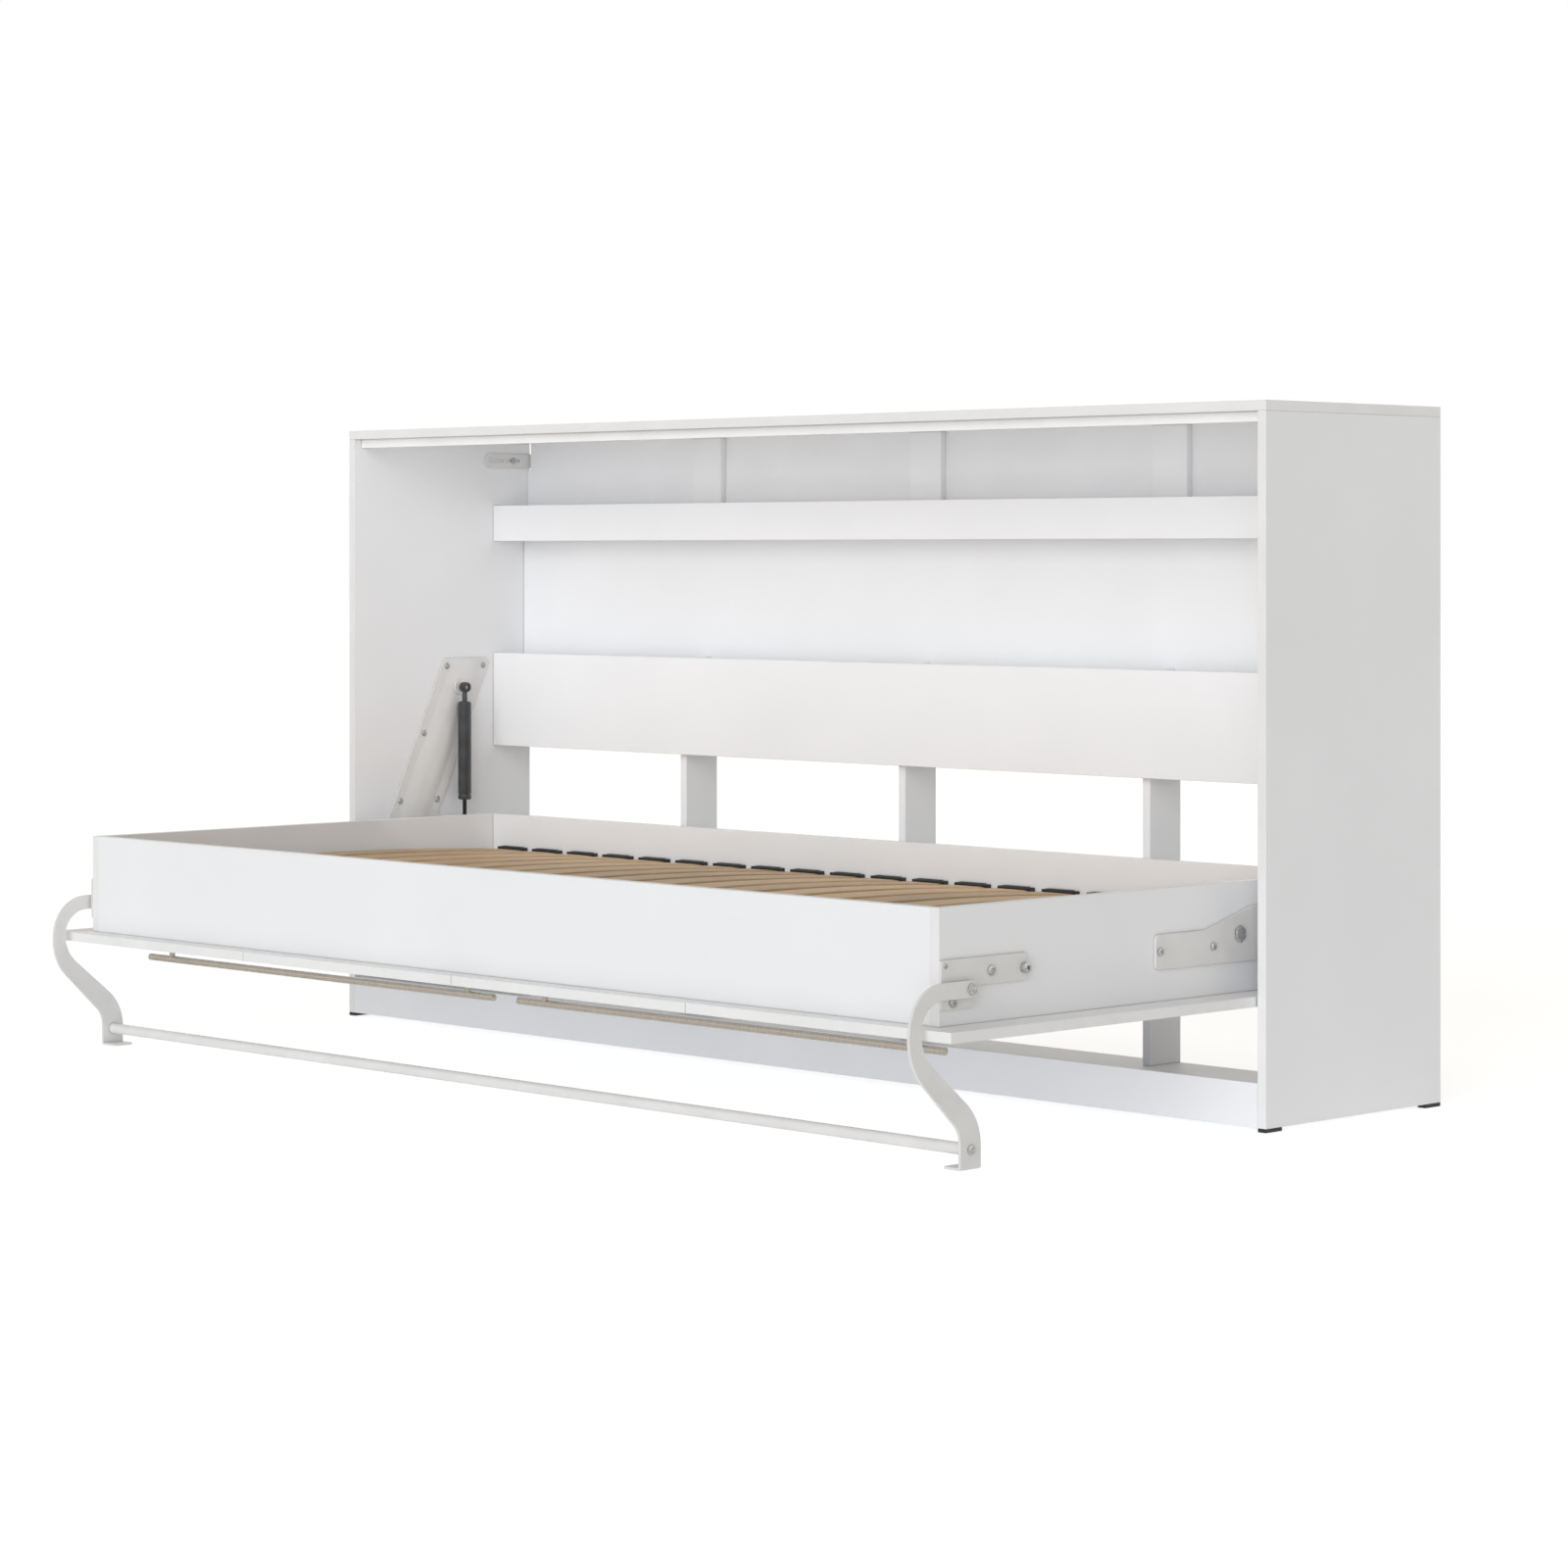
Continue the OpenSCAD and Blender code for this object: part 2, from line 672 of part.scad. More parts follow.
module hinge_plate_bolts() {
    nut = hinge_bolts[2];
    color(zinc_grey) both_sides() {
        for (p = hinge_bolts)
            through_bolt(plate_x, p[0], p[1], hinge_bolt_head_r, bolt_head_h);
        side_plate(plate_x, bolt_head_h) translate(nut)
            polygon([for (a = [30:60:330]) hinge_nut_r * [cos(a), sin(a)]]);
    }
}

module leg_plate() {
    low = leg_pivot_h - 28;
    step = leg_pivot_h + 3;
    top = leg_pivot_h + 43;
    short_y = bed_front_y + 70;
    long_y = bed_front_y + 182;
    outline = rounded([
        [bed_front_y, low], [short_y, low], [short_y, step], [long_y, step], [long_y, top],
        [bed_front_y, top]
    ], 4);
    difference() {
        side_plate(bed_half_w, leg_plate_t) polygon(outline);
        for (p = concat(leg_bolts, [leg_stop, [leg_y, leg_pivot_h]]))
            rod_x(bed_half_w - 1, leg_plate_t + 2, bolt_r, p[0], p[1]);
        rod_x(bed_half_w - 1, leg_plate_t + 2, screw_r, leg_small_screw[0], leg_small_screw[1]);
    }
}
module left_leg_plate() { color(coated_white) mirror([1, 0, 0]) leg_plate(); }
module right_leg_plate() { color(coated_white) leg_plate(); }

module leg_plate_bolts() {
    color(zinc_grey) both_sides() {
        for (p = leg_bolts) through_bolt(leg_plate_x, p[0], p[1], bolt_head_r, bolt_head_h);
        through_bolt(leg_plate_x, leg_stop[0], leg_stop[1], stop_r, arm_out_x - leg_plate_x);
        rod_x(leg_plate_x, 2, 4, leg_small_screw[0], leg_small_screw[1]);
        rod_x(bed_half_w - 8, leg_plate_t + 8, screw_r, leg_small_screw[0], leg_small_screw[1]);
    }
}

// Shoulder bolt, with a washer that keeps the arm off the plate
module leg_pivot_bolts() {
    head_r = 8;
    head_h = 4;
    washer_r = 11;
    color(zinc_grey) both_sides() {
        through_bolt(leg_plate_x, leg_y, leg_pivot_h, leg_journal_r, arm_out_x - leg_plate_x + 0.2);
        rod_x(arm_out_x + 0.2, head_h, head_r, leg_y, leg_pivot_h);
        rod_x(leg_plate_x, arm_x - leg_plate_x - 0.1, washer_r, leg_y, leg_pivot_h);
    }
}

// ---------------------------------------------------------------- folding leg

// The arm's centre line as [y, z, heading]: forward, round in front of the door's
// edge, back on a slant and down to the floor
arm_lean = 41.5;
arm_turn_1 = 57;
arm_turn_2 = 75;
arm_turn_3 = 60;
arm_front_y = leg_y - 116.3;
arm_start_y = leg_y + 11;
arc_steps = 8;
function on_arc(cy, cz, r, a, heading) = [cy + r * cos(a), cz + r * sin(a), heading];
arm_slant = arm_turn_3 * (1 - sin(arm_lean));
arm_low = [arm_front_y + arm_turn_2 * (1 - cos(90 - arm_lean)),
           leg_pivot_h - arm_turn_1 - 2.5 - arm_turn_2 * sin(90 - arm_lean)];
slant_run = foot_y - arm_slant - arm_low[0];
arm_path = concat(
    [[arm_start_y, leg_pivot_h, 180]],
    [for (i = [0:arc_steps]) let (a = 90 + 90 * i / arc_steps)
        on_arc(arm_front_y + arm_turn_1, leg_pivot_h - arm_turn_1, arm_turn_1, a, a + 90)],
    [for (i = [0:arc_steps]) let (a = 180 + (90 - arm_lean) * i / arc_steps)
        on_arc(arm_front_y + arm_turn_2, leg_pivot_h - arm_turn_1 - 2.5, arm_turn_2, a, a + 90)],
    [for (i = [0:arc_steps]) let (
        a = (90 - arm_lean) * (1 - i / arc_steps),
        cy = arm_low[0] + slant_run + arm_slant - arm_turn_3,
        cz = arm_low[1] - slant_run * tan(arm_lean) - arm_turn_3 * sin(90 - arm_lean))
        on_arc(cy, cz, arm_turn_3, a, 270 + a)],
    [[foot_y, 0, 270]]
);
function arm_width(z) =
    let (t = min(1, max(0, (leg_pivot_h - arm_turn_1 - z) / (leg_pivot_h - arm_turn_1 - 40))))
    leg_arm_w + (leg_foot_w - leg_arm_w) * t;
function beside(p, s, w) = [p[0] - s * w / 2 * sin(p[2]), p[1] + s * w / 2 * cos(p[2])];
function arm_w_at(i) = i <= arc_steps + 1 ? leg_arm_w : arm_width(arm_path[i][1]);
arm_outline = concat(
    [for (i = [0:len(arm_path) - 1]) beside(arm_path[i], 1, arm_w_at(i))],
    [for (i = [len(arm_path) - 1:-1:0]) beside(arm_path[i], -1, arm_w_at(i))]
);

module leg_arm() {
    difference() {
        union() {
            side_plate(arm_x, leg_arm_t) polygon(arm_outline);
            translate([arm_x - foot_lip_l, foot_y - leg_foot_w / 2, 0])
                cube([foot_lip_l, leg_foot_w, foot_lip_t]);
        }
        rod_x(arm_x - 1, leg_arm_t + 2, leg_journal_r + running_fit, leg_y, leg_pivot_h);
        rod_x(arm_x - 1, leg_arm_t + 2, bolt_r, cross_bar_y, cross_bar_z);
    }
}
module left_leg_arm() { color(coated_white) mirror([1, 0, 0]) leg_arm(); }
module right_leg_arm() { color(coated_white) leg_arm(); }

module leg_cross_bar() {
    bore_l = 40;
    color(coated_white) difference() {
        rod_x(-arm_x, 2 * arm_x, cross_bar_dia / 2, cross_bar_y, cross_bar_z);
        both_sides() rod_x(arm_x - bore_l, bore_l + 1, bolt_r, cross_bar_y, cross_bar_z);
    }
}

module cross_bar_screws() {
    color(zinc_grey) both_sides() {
        rod_x(arm_out_x, 3.5, 7, cross_bar_y, cross_bar_z);
        rod_x(arm_x - 20, 20 + leg_arm_t, bolt_r, cross_bar_y, cross_bar_z);
    }
}

// ---------------------------------------------------------------- gas springs

gas_top_z = upper_stud_z - socket_neck_l;
gas_low_z = gas_top_z - gas_body_l;

// Ball socket: a short drum, open on the stud's side, that closes behind the ball
// but for a round window
module ball_socket(z, neck_dir, stud_dir) {
    hollow_l = ball_r + clearance;
    drum_l = socket_half_l + hollow_l + socket_wall;
    difference() {
        union() {
            rod_x(stud_dir > 0 ? gas_x - hollow_l - socket_wall : gas_x - socket_half_l,
                  drum_l, socket_r, stud_y, z);
            translate([gas_x, stud_y, neck_dir > 0 ? z : z - socket_neck_l])
                cylinder(h = socket_neck_l, r = socket_neck_r);
        }
        rod_x(stud_dir > 0 ? gas_x - hollow_l : gas_x - socket_half_l - 1,
              socket_half_l + hollow_l + 1, hollow_l, stud_y, z);
        rod_x(gas_x - drum_l, 2 * drum_l, socket_window_r, stud_y, z);
    }
}

module gas_cylinder() {
    difference() {
        union() {
            translate([gas_x, stud_y, gas_low_z]) cylinder(h = gas_body_l, r = gas_dia / 2);
            ball_socket(upper_stud_z, -1, 1);
        }
        translate([gas_x, stud_y, gas_low_z + gas_cap_t])
            cylinder(h = gas_body_l - 2 * gas_cap_t, r = gas_dia / 2 - gas_wall);
        translate([gas_x, stud_y, gas_low_z - 1])
            cylinder(h = gas_cap_t + 2, r = gas_rod_dia / 2 + running_fit);
    }
}
module left_gas_cylinder() { color(spring_black) mirror([1, 0, 0]) gas_cylinder(); }
module right_gas_cylinder() { color(spring_black) gas_cylinder(); }

rod_low_z = lower_stud_z + socket_neck_l;
rod_high_z = gas_low_z + rod_inside;

module gas_rod() {
    translate([gas_x, stud_y, rod_low_z])
        cylinder(h = rod_high_z - rod_low_z, r = gas_rod_dia / 2);
    translate([gas_x, stud_y, rod_high_z - piston_t])
        cylinder(h = piston_t, r = gas_dia / 2 - gas_wall - clearance);
}
module left_gas_rod() { color(rod_black) mirror([1, 0, 0]) gas_rod(); }
module right_gas_rod() { color(rod_black) gas_rod(); }

// Lower ball socket and its stud, whose base lies just clear of the hinge plate
module lower_joint() {
    ball_socket(lower_stud_z, 1, -1);
    ball_stud(plate_x + clearance, gas_x, stud_y, lower_stud_z);
}
module left_lower_joint() { color(spring_black) mirror([1, 0, 0]) lower_joint(); }
module right_lower_joint() { color(spring_black) lower_joint(); }

// ---------------------------------------------------------------- output

left_side_panel();
right_side_panel();
top_panel();
bottom_board();
plinth_board();
door_stop_board();
upper_back_rail();
middle_back_rail();
middle_back_panel();
back_post_1();
back_post_2();
back_post_3();
back_battens();
upper_back_board();
floor_glides();
left_wall_bracket();
right_wall_bracket();
wall_bracket_screws();
left_lift_bracket();
right_lift_bracket();
lift_bracket_screws();
pivot_pins();
upper_ball_studs();
cabinet_dowels();
pivot_bushes();
left_bed_side();
right_bed_side();
bed_front_board();
bed_rear_board();
door_panel_1();
door_panel_2();
door_panel_3();
door_panel_4();
door_cleats();
slat_ledges();
slats();
slat_holders();
left_handle();
right_handle();
handle_posts();
handle_screws();
left_hinge_plate();
right_hinge_plate();
hinge_plate_bolts();
left_leg_plate();
right_leg_plate();
leg_plate_bolts();
leg_pivot_bolts();
bed_dowels();
left_leg_arm();
right_leg_arm();
leg_cross_bar();
cross_bar_screws();
left_gas_cylinder();
right_gas_cylinder();
left_gas_rod();
right_gas_rod();
left_lower_joint();
right_lower_joint();
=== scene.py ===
"""Horizontal wall bed: finishes, turned and pressed details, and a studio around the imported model."""

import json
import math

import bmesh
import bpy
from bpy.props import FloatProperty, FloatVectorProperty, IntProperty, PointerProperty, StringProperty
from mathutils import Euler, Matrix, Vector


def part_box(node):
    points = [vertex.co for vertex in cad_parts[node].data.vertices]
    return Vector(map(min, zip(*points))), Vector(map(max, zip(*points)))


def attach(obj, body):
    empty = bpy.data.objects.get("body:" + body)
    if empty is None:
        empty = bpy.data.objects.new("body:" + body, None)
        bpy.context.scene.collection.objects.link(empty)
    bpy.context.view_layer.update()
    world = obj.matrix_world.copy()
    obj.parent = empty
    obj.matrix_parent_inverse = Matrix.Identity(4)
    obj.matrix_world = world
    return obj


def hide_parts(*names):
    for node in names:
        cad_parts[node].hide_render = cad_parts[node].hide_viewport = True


bl_info = {
    "name": "Horizontal Wall Bed",
    "version": (1, 0, 0),
    "blender": (4, 5, 0),
    "location": "3D View > Sidebar > Wall Bed",
    "description": "Dresses a fold-down cabinet bed: edged boards, slats, steel fittings and studio",
    "category": "Object",
}

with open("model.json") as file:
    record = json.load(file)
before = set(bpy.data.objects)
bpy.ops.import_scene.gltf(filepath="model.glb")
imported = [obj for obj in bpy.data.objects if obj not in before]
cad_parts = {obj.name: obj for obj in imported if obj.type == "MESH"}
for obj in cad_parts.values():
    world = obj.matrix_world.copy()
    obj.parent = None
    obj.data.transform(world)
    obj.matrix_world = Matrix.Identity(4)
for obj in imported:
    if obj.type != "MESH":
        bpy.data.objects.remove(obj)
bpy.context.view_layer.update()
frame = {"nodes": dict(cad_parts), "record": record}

BODIES = frame["record"]["behaviour"]["bodies"]
SIDES = {"left": -1, "right": 1}
MM = 0.001


# ---------------------------------------------------------------- sizes and colours a user may change

class WallBedSizes(bpy.types.PropertyGroup):
    board_edge: FloatProperty(
        name="Board edge", description="Radius of the edge band's corners",
        default=0.8 * MM, min=0.2 * MM, max=3 * MM, subtype="DISTANCE")
    steel_edge: FloatProperty(
        name="Steel edge", description="Radius of a pressed steel plate's edges",
        default=0.7 * MM, min=0.1 * MM, max=2 * MM, subtype="DISTANCE")
    plastic_edge: FloatProperty(
        name="Plastic edge", description="Radius of moulded plastic corners",
        default=1.2 * MM, min=0.2 * MM, max=3 * MM, subtype="DISTANCE")
    slat_edge: FloatProperty(
        name="Slat edge", description="Radius of a slat's long edges",
        default=2.5 * MM, min=0.5 * MM, max=4 * MM, subtype="DISTANCE")
    slat_thickness: FloatProperty(
        name="Slat thickness", description="Thickness of one slat",
        default=8 * MM, min=6 * MM, max=10 * MM, subtype="DISTANCE")
    spring_tube: FloatProperty(
        name="Spring tube", description="Length of a gas spring's tube",
        default=190 * MM, min=186 * MM, max=196 * MM, subtype="DISTANCE")
    ball: FloatProperty(
        name="Ball", description="Radius of a gas spring's ball stud",
        default=6.5 * MM, min=5 * MM, max=8 * MM, subtype="DISTANCE")
    socket: FloatProperty(
        name="Socket", description="Outer radius of a gas spring's ball socket",
        default=9.5 * MM, min=8 * MM, max=11 * MM, subtype="DISTANCE")
    stud_base: FloatProperty(
        name="Stud base", description="Radius of a ball stud's base",
        default=15 * MM, min=10 * MM, max=16 * MM, subtype="DISTANCE")
    foot_round: FloatProperty(
        name="Foot bend", description="Radius of the bend at the leg's foot",
        default=5 * MM, min=1 * MM, max=10 * MM, subtype="DISTANCE")
    turned_steps: IntProperty(
        name="Turned steps", description="Faces round a turned piece",
        default=40, min=12, max=96)
    spin_seed: IntProperty(
        name="Screw seed", description="Seed for how far each screw was driven round",
        default=7, min=0)


class WallBedColours(bpy.types.PropertyGroup):
    melamine: StringProperty(name="Melamine", description="Board faces", default="#F4F5F7")
    edge_band: StringProperty(name="Edge band", description="Board edges", default="#F1F1F1")
    hardboard: StringProperty(name="Hardboard", description="Thin back board", default="#F4F5F7")
    powder: StringProperty(name="Powder coat", description="White steel", default="#E8E7E6")
    zinc: StringProperty(name="Zinc", description="Screws and bolts", default="#C9CBCD")
    handle: StringProperty(name="Handle", description="Brushed bars", default="#CFC6BA")
    spring: StringProperty(name="Spring", description="Gas spring tube", default="#2E3236")
    rod: StringProperty(name="Rod", description="Nitrided rod", default="#3B3D40")
    beech_light: StringProperty(name="Beech, light", description="Slat wood", default="#DDBB91")
    beech_dark: StringProperty(name="Beech, dark", description="Slat grain", default="#C39A6C")
    pine_light: StringProperty(name="Pine, light", description="Ledge wood", default="#E8CFA2")
    pine_dark: StringProperty(name="Pine, dark", description="Ledge grain", default="#CFA970")
    plastic: StringProperty(name="Plastic", description="Caps and glides", default="#26282B")


class WallBedStage(bpy.types.PropertyGroup):
    turn: FloatProperty(
        name="Turn", description="Camera's turn round the bed from straight in front",
        default=math.radians(46.29), subtype="ANGLE")
    distance: FloatProperty(
        name="Distance", description="Camera's distance along its view from the cabinet's back",
        default=7.2605, unit="LENGTH")
    aside: FloatProperty(
        name="Aside", description="Camera's shift to its right", default=-0.4383, unit="LENGTH")
    height: FloatProperty(
        name="Height", description="Camera above the floor", default=0.8739, unit="LENGTH")
    lens: FloatProperty(name="Lens", description="Focal length in millimetres", default=93.8)
    shift: FloatVectorProperty(
        name="Shift", description="Lens shift, right and up", size=2, default=(0.0625, -0.1466))
    sky: FloatProperty(name="Sky", description="Strength of the even light", default=0.38)
    mirrored: FloatProperty(
        name="Mirrored", description="Brightness of the room as reflections see it", default=1.1)
    key: FloatProperty(name="Key", description="Strength of the soft light from above", default=1.35)
    fill: FloatProperty(name="Fill", description="Strength of the soft light from below", default=0.85)
    bay: FloatProperty(
        name="Bay", description="Power of the light into the open cabinet, in watts", default=1.2)
    key_spread: FloatProperty(
        name="Key spread", description="How wide the soft lights are",
        default=math.radians(50), subtype="ANGLE")
    floor_seen: FloatProperty(
        name="Floor, seen", description="Glow of the floor as the camera sees it", default=0.6)
    floor_lit: FloatProperty(
        name="Floor, lit", description="Glow of the floor as the bed is lit by it", default=0.15)
    backdrop: FloatProperty(name="Backdrop", description="Brightness of the backdrop", default=1.0)


def settings():
    scene = bpy.context.scene
    return scene.wall_bed_sizes, scene.wall_bed_colours, scene.wall_bed_stage


# ---------------------------------------------------------------- node helpers

def linear(hex_colour):
    """An sRGB hex value as linear red, green, blue and full alpha."""
    parts = [int(hex_colour[i:i + 2], 16) / 255 for i in (1, 3, 5)]
    return [c / 12.92 if c <= 0.04045 else ((c + 0.055) / 1.055) ** 2.4 for c in parts] + [1.0]


def per_metre(size_mm):
    """A texture scale whose pattern repeats about every size_mm."""
    return 1000 / size_mm


def add(tree, kind, inputs=None, stops=(), **values):
    """One node, with its settings, its inputs set to values or linked to sockets, and, for
    a colour ramp, its (position, hex or grey) stops."""
    made = tree.nodes.new(kind)
    for key, value in values.items():
        setattr(made, key, value)
    for key, value in (inputs or {}).items():
        if isinstance(value, bpy.types.NodeSocket):
            tree.links.new(value, made.inputs[key])
        else:
            made.inputs[key].default_value = value
    if stops:
        marks = made.color_ramp.elements
        marks[0].position, marks[1].position = stops[0][0], stops[-1][0]
        for position, _ in stops[1:-1]:
            marks.new(position)
        for mark, (_, tone) in zip(marks, stops):
            mark.color = linear(tone) if isinstance(tone, str) else (tone, tone, tone, 1)
    return made


def material(name, **shader):
    """A named material, its tree, its shader and the Object coordinates of what wears it."""
    made = bpy.data.materials.new(name)
    made.use_nodes = True
    tree = made.node_tree
    tree.nodes.clear()
    bsdf = add(tree, "ShaderNodeBsdfPrincipled", shader)
    add(tree, "ShaderNodeOutputMaterial", {"Surface": bsdf.outputs[0]})
    place = add(tree, "ShaderNodeTexCoord").outputs["Object"]
    return made, tree, bsdf, place


def shade(hex_colour, factor):
    """The same colour, lighter or darker."""
    parts = [min(255, round(int(hex_colour[i:i + 2], 16) * factor)) for i in (1, 3, 5)]
    return "#" + "".join(f"{c:02X}" for c in parts)


def pattern(tree, place, size_mm, detail=3.0, rough=0.5, drawn_out=None):
    """Cloudy patches about size_mm across, drawn out along the axes where drawn_out is small."""
    if drawn_out:
        place = add(tree, "ShaderNodeMapping", {"Vector": place, "Scale": drawn_out}).outputs[0]
    return add(tree, "ShaderNodeTexNoise", {
        "Vector": place, "Scale": per_metre(size_mm), "Detail": detail, "Roughness": rough}).outputs[0]


def toned(tree, patches, hex_colour, dark, light=1.0):
    """A colour that wanders between two shades of itself with the patches."""
    return add(tree, "ShaderNodeValToRGB", {"Fac": patches}, stops=[
        (0.3, shade(hex_colour, dark)), (0.7, shade(hex_colour, light))]).outputs[0]


def multiplied(tree, colour, by, share=1.0):
    return add(tree, "ShaderNodeMixRGB", {"Fac": share, "Color1": colour, "Color2": by},
               blend_type="MULTIPLY").outputs[0]


def painted_crease_shade(tree, colour, depth, gap_mm=4):
    """The same colour with painted shade: darker where another surface stands within gap_mm of it, where
    shade falls in a crease or joint.
    """
    near = add(tree, "ShaderNodeAmbientOcclusion", {"Distance": gap_mm * MM}, samples=6).outputs["AO"]
    dark = add(tree, "ShaderNodeValToRGB", {"Fac": near}, stops=[(0.35, 1 - depth), (0.9, 1.0)])
    return multiplied(tree, colour, dark.outputs[0])


def surface(tree, bsdf, colour, gloss, skin=None):
    """Links what varies over a surface: its colour; its roughness, as patches with the lowest
    and highest value; and its skin, as patches with a depth in millimetres and a strength."""
    tree.links.new(colour, bsdf.inputs["Base Color"])
    patches, low, high = gloss
    rough = add(tree, "ShaderNodeMapRange", {"Value": patches, "To Min": low, "To Max": high})
    tree.links.new(rough.outputs[0], bsdf.inputs["Roughness"])
    if skin:
        height, depth_mm, strength = skin
        bump = add(tree, "ShaderNodeBump", {
            "Height": height, "Distance": depth_mm * MM, "Strength": strength})
        tree.links.new(bump.outputs[0], bsdf.inputs["Normal"])


# ---------------------------------------------------------------- materials

def melamine_board(colours):
    """Melamine-faced chipboard, pressed against a fine pearl plate: a dense satin
    white with a shallow pebble that breaks up its highlights."""
    made, tree, bsdf, place = material("melamine_faced_chipboard", **{"IOR": 1.5})
    white = toned(tree, pattern(tree, place, 260), colours.melamine, 0.985)
    pearl = pattern(tree, place, 1.6, 2.0)  # the real pearl is 0.3 mm across, too fine to show
    # painted shade: the faces darken in creases and joints near other surfaces
    surface(tree, bsdf, painted_crease_shade(tree, white, 0.3), (pattern(tree, place, 30), 0.38, 0.5),
            (pearl, 0.05, 0.35))
    return made


def abs_edge_band(colours):
    """ABS edge band, extruded and scraped flush: smoother than the faces, with faint
    scraper lines along the edge."""
    made, tree, bsdf, place = material("abs_edge_band", **{"IOR": 1.53})
    white = toned(tree, pattern(tree, place, 90), colours.edge_band, 0.98)
    scraped = pattern(tree, place, 1.5, drawn_out=(0.05, 0.05, 1))
    # painted shade: the band darkens in creases and joints near other surfaces
    surface(tree, bsdf, painted_crease_shade(tree, white, 0.3), (pattern(tree, place, 12), 0.3, 0.4),
            (scraped, 0.03, 0.25))
    return made


def painted_hardboard(colours):
    """Hardboard with a rolled white lacquer: matt, and a little uneven."""
    made, tree, bsdf, place = material("lacquered_hardboard", **{"IOR": 1.5})
    surface(tree, bsdf, toned(tree, pattern(tree, place, 150, 5), colours.hardboard, 0.975),
            (pattern(tree, place, 20), 0.5, 0.62), (pattern(tree, place, 2.5, 4), 0.08, 0.4))
    return made


def powder_coat(colours):
    """Polyester powder coat on steel: a soft gloss over orange peel about 2 mm across."""
    made, tree, bsdf, place = material("white_powder_coat", **{
        "IOR": 1.52, "Coat Weight": 0.25, "Coat Roughness": 0.2})
    white = toned(tree, pattern(tree, place, 60), colours.powder, 0.97)
    # painted shade: the coat darkens in creases and where plates meet other parts
    surface(tree, bsdf, painted_crease_shade(tree, white, 0.35), (pattern(tree, place, 8), 0.3, 0.42),
            (pattern(tree, place, 2.2, 1.5), 0.12, 0.45))
    return made


def zinc_plate(colours):
    """Zinc plating over turned steel, dulled by its passivated film: grey with a faint blue
    and duller patches."""
    made, tree, bsdf, place = material("zinc_plated_steel", **{"Metallic": 0.7})
    grey = add(tree, "ShaderNodeValToRGB", {"Fac": pattern(tree, place, 4, 4)}, stops=[
        (0.3, shade(colours.zinc, 0.82)), (0.55, colours.zinc), (0.75, shade(colours.zinc, 1.12))])
    surface(tree, bsdf, grey.outputs[0], (pattern(tree, place, 2.5, 4), 0.28, 0.5),
            (pattern(tree, place, 0.8), 0.02, 0.3))
    return made


def brushed_bar(colours):
    """Stainless steel brushed round the bar, then polished: fine rings across its length."""
    made, tree, bsdf, place = material("brushed_stainless_steel", **{"Metallic": 1.0})
    # Brush lines are 0.1 mm apart; they are drawn 0.7 mm apart so that they show.
    rings = pattern(tree, place, 0.7, 2, drawn_out=(1, 0.06, 0.06))
    surface(tree, bsdf, toned(tree, rings, colours.handle, 0.92, 1.06), (rings, 0.09, 0.15),
            (rings, 0.01, 0.1))
    return made


def spring_lacquer(colours):
    """Stove lacquer on a drawn steel tube: near black, glossy, slightly wavy along it."""
    made, tree, bsdf, place = material("stove_lacquered_tube", **{
        "IOR": 1.5, "Coat Weight": 0.5, "Coat Roughness": 0.12})
    surface(tree, bsdf, toned(tree, pattern(tree, place, 25), colours.spring, 0.85, 1.15),
            (pattern(tree, place, 6), 0.25, 0.38),
            (pattern(tree, place, 2, 2, drawn_out=(1, 1, 0.15)), 0.04, 0.4))
    return made


def nitrided_rod(colours):
    """Black nitrided steel, ground along its length: dark, with a trace of straight scratches."""
    made, tree, bsdf, place = material("nitrided_piston_rod", **{"Metallic": 1.0})
    scratch = pattern(tree, place, 0.6, 2, drawn_out=(1, 1, 0.03))
    surface(tree, bsdf, toned(tree, scratch, colours.rod, 0.88), (scratch, 0.18, 0.28))
    return made


def beech_plywood(colours, pitch):
    """Steam-bent beech plywood, sanded and waxed: straight grain along the slat, short
    dark flecks and a shade of its own for each slat."""
    made, tree, bsdf, place = material("bent_beech_plywood", **{"IOR": 1.5})
    axes = add(tree, "ShaderNodeSeparateXYZ", {0: place})
    cell = add(tree, "ShaderNodeMath", {0: axes.outputs[0], 1: pitch}, operation="DIVIDE").outputs[0]
    slat_no = add(tree, "ShaderNodeMath", {0: cell}, operation="FLOOR").outputs[0]
    own = add(tree, "ShaderNodeTexWhiteNoise", {"W": slat_no}, noise_dimensions="1D").outputs[0]
    offset = add(tree, "ShaderNodeCombineXYZ", {1: own}).outputs[0]
    shifted = add(tree, "ShaderNodeVectorMath", {0: place, 1: offset}, operation="ADD").outputs[0]
    grain = pattern(tree, shifted, 7, 5, 0.6, drawn_out=(1, 0.035, 1))
    wood = add(tree, "ShaderNodeValToRGB", {"Fac": grain}, stops=[
        (0.28, colours.beech_dark), (0.5, shade(colours.beech_light, 0.94)),
        (0.72, colours.beech_light)]).outputs[0]
    rays = pattern(tree, shifted, 1.6, 1, drawn_out=(1, 0.3, 1))  # ray flecks, 1.5 by 5 mm
    fleck = add(tree, "ShaderNodeValToRGB", {"Fac": rays}, stops=[(0.66, 1.0), (0.74, 0.8)])
    tint = add(tree, "ShaderNodeValToRGB", {"Fac": own}, stops=[
        (0.0, shade("#FFFFFF", 0.86)), (1.0, "#FFFFFF")])
    wood = multiplied(tree, multiplied(tree, wood, fleck.outputs[0], 0.6), tint.outputs[0])
    surface(tree, bsdf, wood, (grain, 0.42, 0.6), (grain, 0.15, 0.4))
    return made


